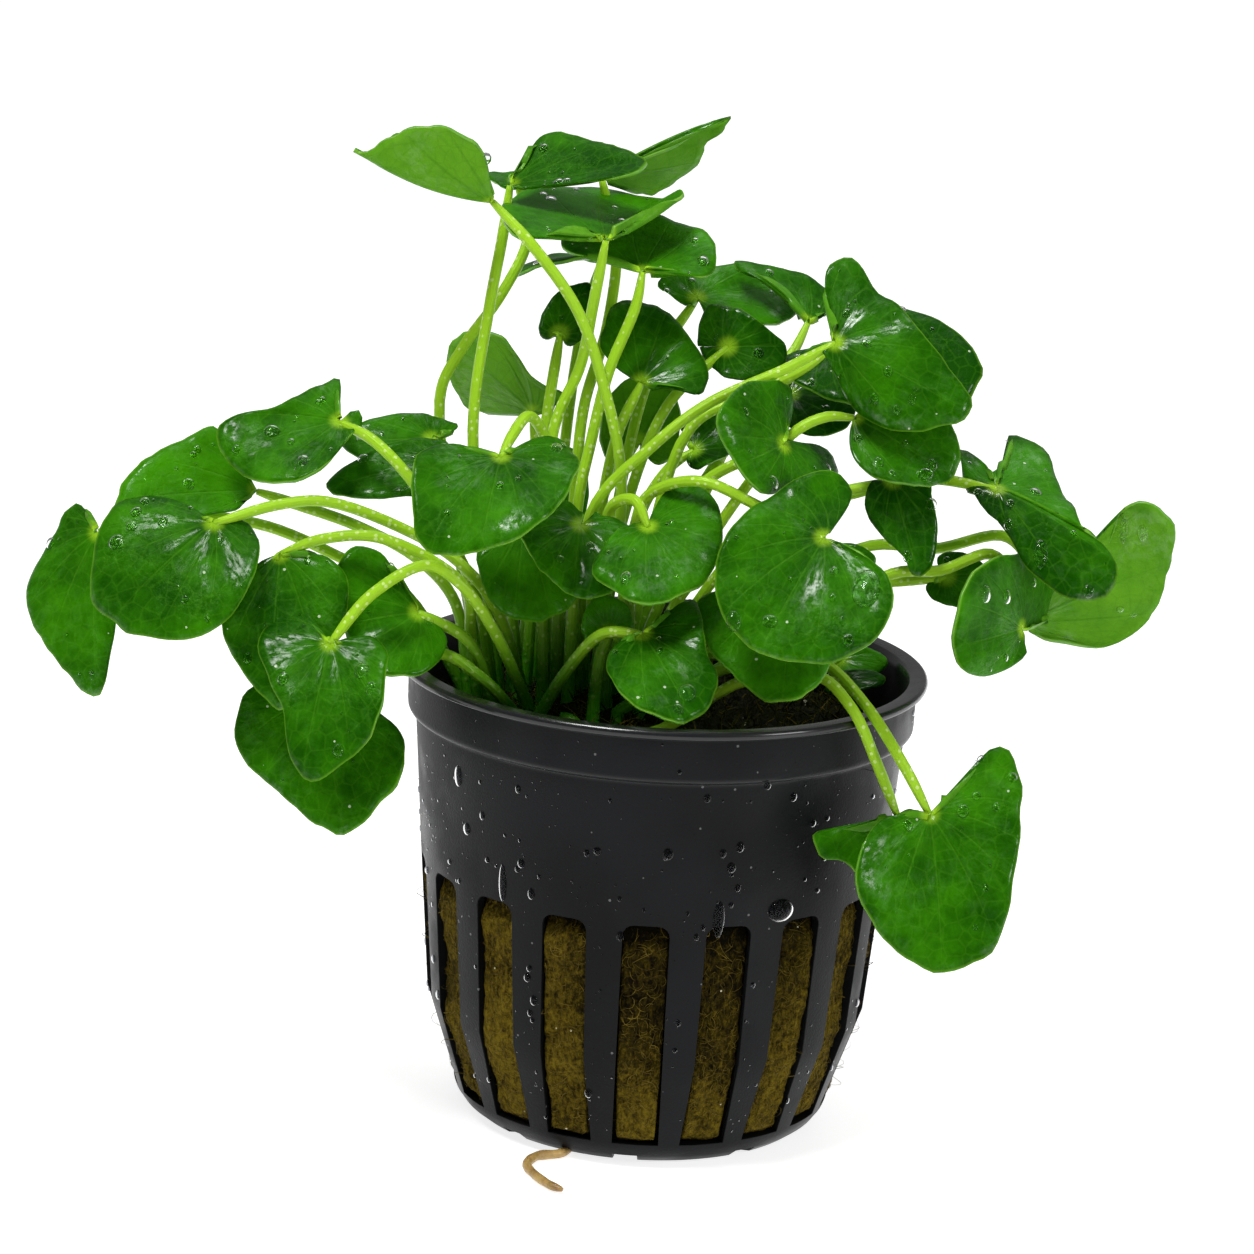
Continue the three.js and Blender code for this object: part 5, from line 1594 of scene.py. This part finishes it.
def length_property(name, description, default):
    """Length in metres that is shown in the scene's unit."""
    return FloatProperty(name=name, description=description, default=default, min=0.0,
                         precision=5, unit="LENGTH", subtype="DISTANCE")


def colour_property(name, description, default):
    """Linear colour."""
    return FloatVectorProperty(name=name, description=description, default=default, size=3,
                               min=0.0, max=1.0, subtype="COLOR")


class PotSettings(bpy.types.PropertyGroup):
    """Looks of the net pot."""
    edge_round: length_property("Edge rounding", "Rounding of the cut edges", 0.00013)
    dark: colour_property("Dark", "Darker shade of the plastic", (0.003, 0.0032, 0.0036))
    light: colour_property("Light", "Lighter shade of the plastic", (0.006, 0.0065, 0.0075))


class FillingSettings(bpy.types.PropertyGroup):
    """Looks of the rockwool, moss and root."""
    fibre_count: IntProperty(name="Fibres", description="Loose fibres in the slots",
                             default=4000, min=0, max=4500)
    tuft_count: IntProperty(name="Tufts", description="Moss strands on the mound",
                            default=3600, min=0, max=6000)
    root_radius: length_property("Root radius", "Radius of the root", 0.0005)
    # Wool colours: the dark one is partly painted shade in the hollows, the light one partly
    # painted light on the bulges.
    wool_dark: colour_property("Wool, dark", "Hollows of the wool", (0.004, 0.0028, 0.0005))
    wool: colour_property("Wool", "Body of the wool", (0.035, 0.024, 0.0018))
    wool_light: colour_property("Wool, light", "Bulges of the wool", (0.17, 0.12, 0.009))
    fibre: colour_property("Fibre", "Loose dry fibres", (0.17, 0.12, 0.015))
    soil: colour_property("Soil", "Wet soil", (0.0022, 0.0022, 0.0007))
    moss: colour_property("Moss", "Moss on the soil", (0.012, 0.015, 0.0015))
    moss_light: colour_property("Moss, light", "Young moss strands", (0.04, 0.045, 0.005))
    root: colour_property("Root", "Body of the root", (0.5, 0.34, 0.11))
    root_dark: colour_property("Root, dark", "Darker bands of the root", (0.2, 0.11, 0.03))


class LeafSettings(bpy.types.PropertyGroup):
    """Sizes and colours of the leaves."""
    thickness: length_property("Blade thickness", "Thickness of a blade", 0.0004)
    stalk_radius: length_property("Stalk radius", "Radius of a stalk", 0.0006)
    ripple: length_property("Ripple", "Height of the waves along the margin", 0.0005)
    dark: colour_property("Upper side, dark", "Old leaves", (0.0045, 0.052, 0.0004))
    light: colour_property("Upper side, light", "Young leaves", (0.042, 0.235, 0.0015))
    under: colour_property("Underside", "Underside", (0.04, 0.19, 0.006))
    under_light: colour_property("Underside, light", "Lit underside", (0.12, 0.34, 0.015))
    vein: colour_property("Veins", "Veins", (0.1, 0.33, 0.015))
    rim: colour_property("Rim", "Thin light margin", (0.16, 0.4, 0.02))
    stalk: colour_property("Stalk", "Upper part of a stalk", (0.34, 0.62, 0.022))
    stalk_foot: colour_property("Stalk foot", "Lower part of a stalk", (0.022, 0.16, 0.002))
    # Stalk dots: partly the stalk's own cells, partly painted glints of water.
    stalk_dot_and_glint: colour_property("Stalk dots", "Pale dots of a stalk", (0.72, 0.88, 0.35))


class WaterSettings(bpy.types.PropertyGroup):
    """Beads of water."""
    leaf_drops: IntProperty(name="Drops on a leaf", description="Drops on a leaf of 200 mm2",
                            default=9, min=0, max=60)
    pot_drops: IntProperty(name="Drops on the pot", description="Small drops on the pot",
                           default=1100, min=0, max=1500)
    drop_size: length_property("Drop size", "Width of a middling drop", 0.0008)


class StageSettings(bpy.types.PropertyGroup):
    """Floor, light and camera."""
    floor: colour_property("Floor", "Colour of the floor", (0.55, 0.55, 0.55))
    floor_size: length_property("Floor size", "Side of the floor", 6.0)
    glow: FloatProperty(name="Floor glow", description="Light given off by the white floor",
                        default=0.8, min=0.0)
    sky: FloatProperty(name="Sky", description="Strength of the even light", default=0.22)
    key: FloatProperty(name="Key light", description="Power of the key light", default=11.0,
                       unit="POWER")
    fill: FloatProperty(name="Fill light", description="Power of the fill light", default=4.0,
                        unit="POWER")
    back: FloatProperty(name="Back light", description="Power of the back light", default=3.5,
                        unit="POWER")


# Operators

class NYMPHOIDES_OT_pot(bpy.types.Operator):
    """Build the net pot"""
    bl_idname = "nymphoides.pot"
    bl_label = "Net pot"

    def execute(self, context):
        build_pot(context.scene.nymphoides_pot)
        return {"FINISHED"}


class NYMPHOIDES_OT_rockwool(bpy.types.Operator):
    """Build the rockwool plug and its fibres"""
    bl_idname = "nymphoides.rockwool"
    bl_label = "Rockwool"

    def execute(self, context):
        build_rockwool(context.scene.nymphoides_filling)
        return {"FINISHED"}


class NYMPHOIDES_OT_moss(bpy.types.Operator):
    """Build the mound of moss"""
    bl_idname = "nymphoides.moss"
    bl_label = "Moss"

    def execute(self, context):
        build_moss(context.scene.nymphoides_filling)
        return {"FINISHED"}


class NYMPHOIDES_OT_root(bpy.types.Operator):
    """Build the root under the pot"""
    bl_idname = "nymphoides.root"
    bl_label = "Root"

    def execute(self, context):
        build_root(context.scene.nymphoides_filling)
        return {"FINISHED"}


class NYMPHOIDES_OT_leaves(bpy.types.Operator):
    """Build every leaf with its stalk"""
    bl_idname = "nymphoides.leaves"
    bl_label = "Leaves"

    def execute(self, context):
        build_leaves(context.scene.nymphoides_leaves)
        return {"FINISHED"}


class NYMPHOIDES_OT_water(bpy.types.Operator):
    """Lay beads of water on the leaves and the pot"""
    bl_idname = "nymphoides.water"
    bl_label = "Water"

    def execute(self, context):
        build_water(context.scene.nymphoides_water)
        return {"FINISHED"}


class NYMPHOIDES_OT_stage(bpy.types.Operator):
    """Set up the floor, the light and the camera"""
    bl_idname = "nymphoides.stage"
    bl_label = "Stage"

    def execute(self, context):
        build_stage(context.scene.nymphoides_stage)
        return {"FINISHED"}


SETTINGS = {
    "nymphoides_pot": PotSettings,
    "nymphoides_filling": FillingSettings,
    "nymphoides_leaves": LeafSettings,
    "nymphoides_water": WaterSettings,
    "nymphoides_stage": StageSettings,
}
OPERATORS = (NYMPHOIDES_OT_stage, NYMPHOIDES_OT_pot, NYMPHOIDES_OT_rockwool, NYMPHOIDES_OT_moss,
             NYMPHOIDES_OT_root, NYMPHOIDES_OT_leaves, NYMPHOIDES_OT_water)


class NYMPHOIDES_PT_build(bpy.types.Panel):
    """Steps and settings of the potted nymphoides"""
    bl_idname = "NYMPHOIDES_PT_build"
    bl_label = "Potted nymphoides"
    bl_space_type = "VIEW_3D"
    bl_region_type = "UI"
    bl_category = "Nymphoides"

    def draw(self, context):
        for operator in OPERATORS:
            self.layout.operator(operator.bl_idname)
        for key, settings in SETTINGS.items():
            box = self.layout.box()
            box.label(text=settings.__doc__)
            for name in settings.__annotations__:
                box.prop(getattr(context.scene, key), name)


def register():
    """Register the settings, the operators and the panel."""
    for key, settings in SETTINGS.items():
        bpy.utils.register_class(settings)
        setattr(bpy.types.Scene, key, PointerProperty(type=settings))
    for operator in OPERATORS:
        bpy.utils.register_class(operator)
    bpy.utils.register_class(NYMPHOIDES_PT_build)


def unregister():
    """Take away the panel, the operators and the settings."""
    bpy.utils.unregister_class(NYMPHOIDES_PT_build)
    for operator in reversed(OPERATORS):
        bpy.utils.unregister_class(operator)
    for key, settings in reversed(SETTINGS.items()):
        delattr(bpy.types.Scene, key)
        bpy.utils.unregister_class(settings)


def main():
    """Build the whole part."""
    register()
    for operator in OPERATORS:
        group, step = operator.bl_idname.split(".")
        getattr(getattr(bpy.ops, group), step)()


if __name__ == "__main__":
    main()
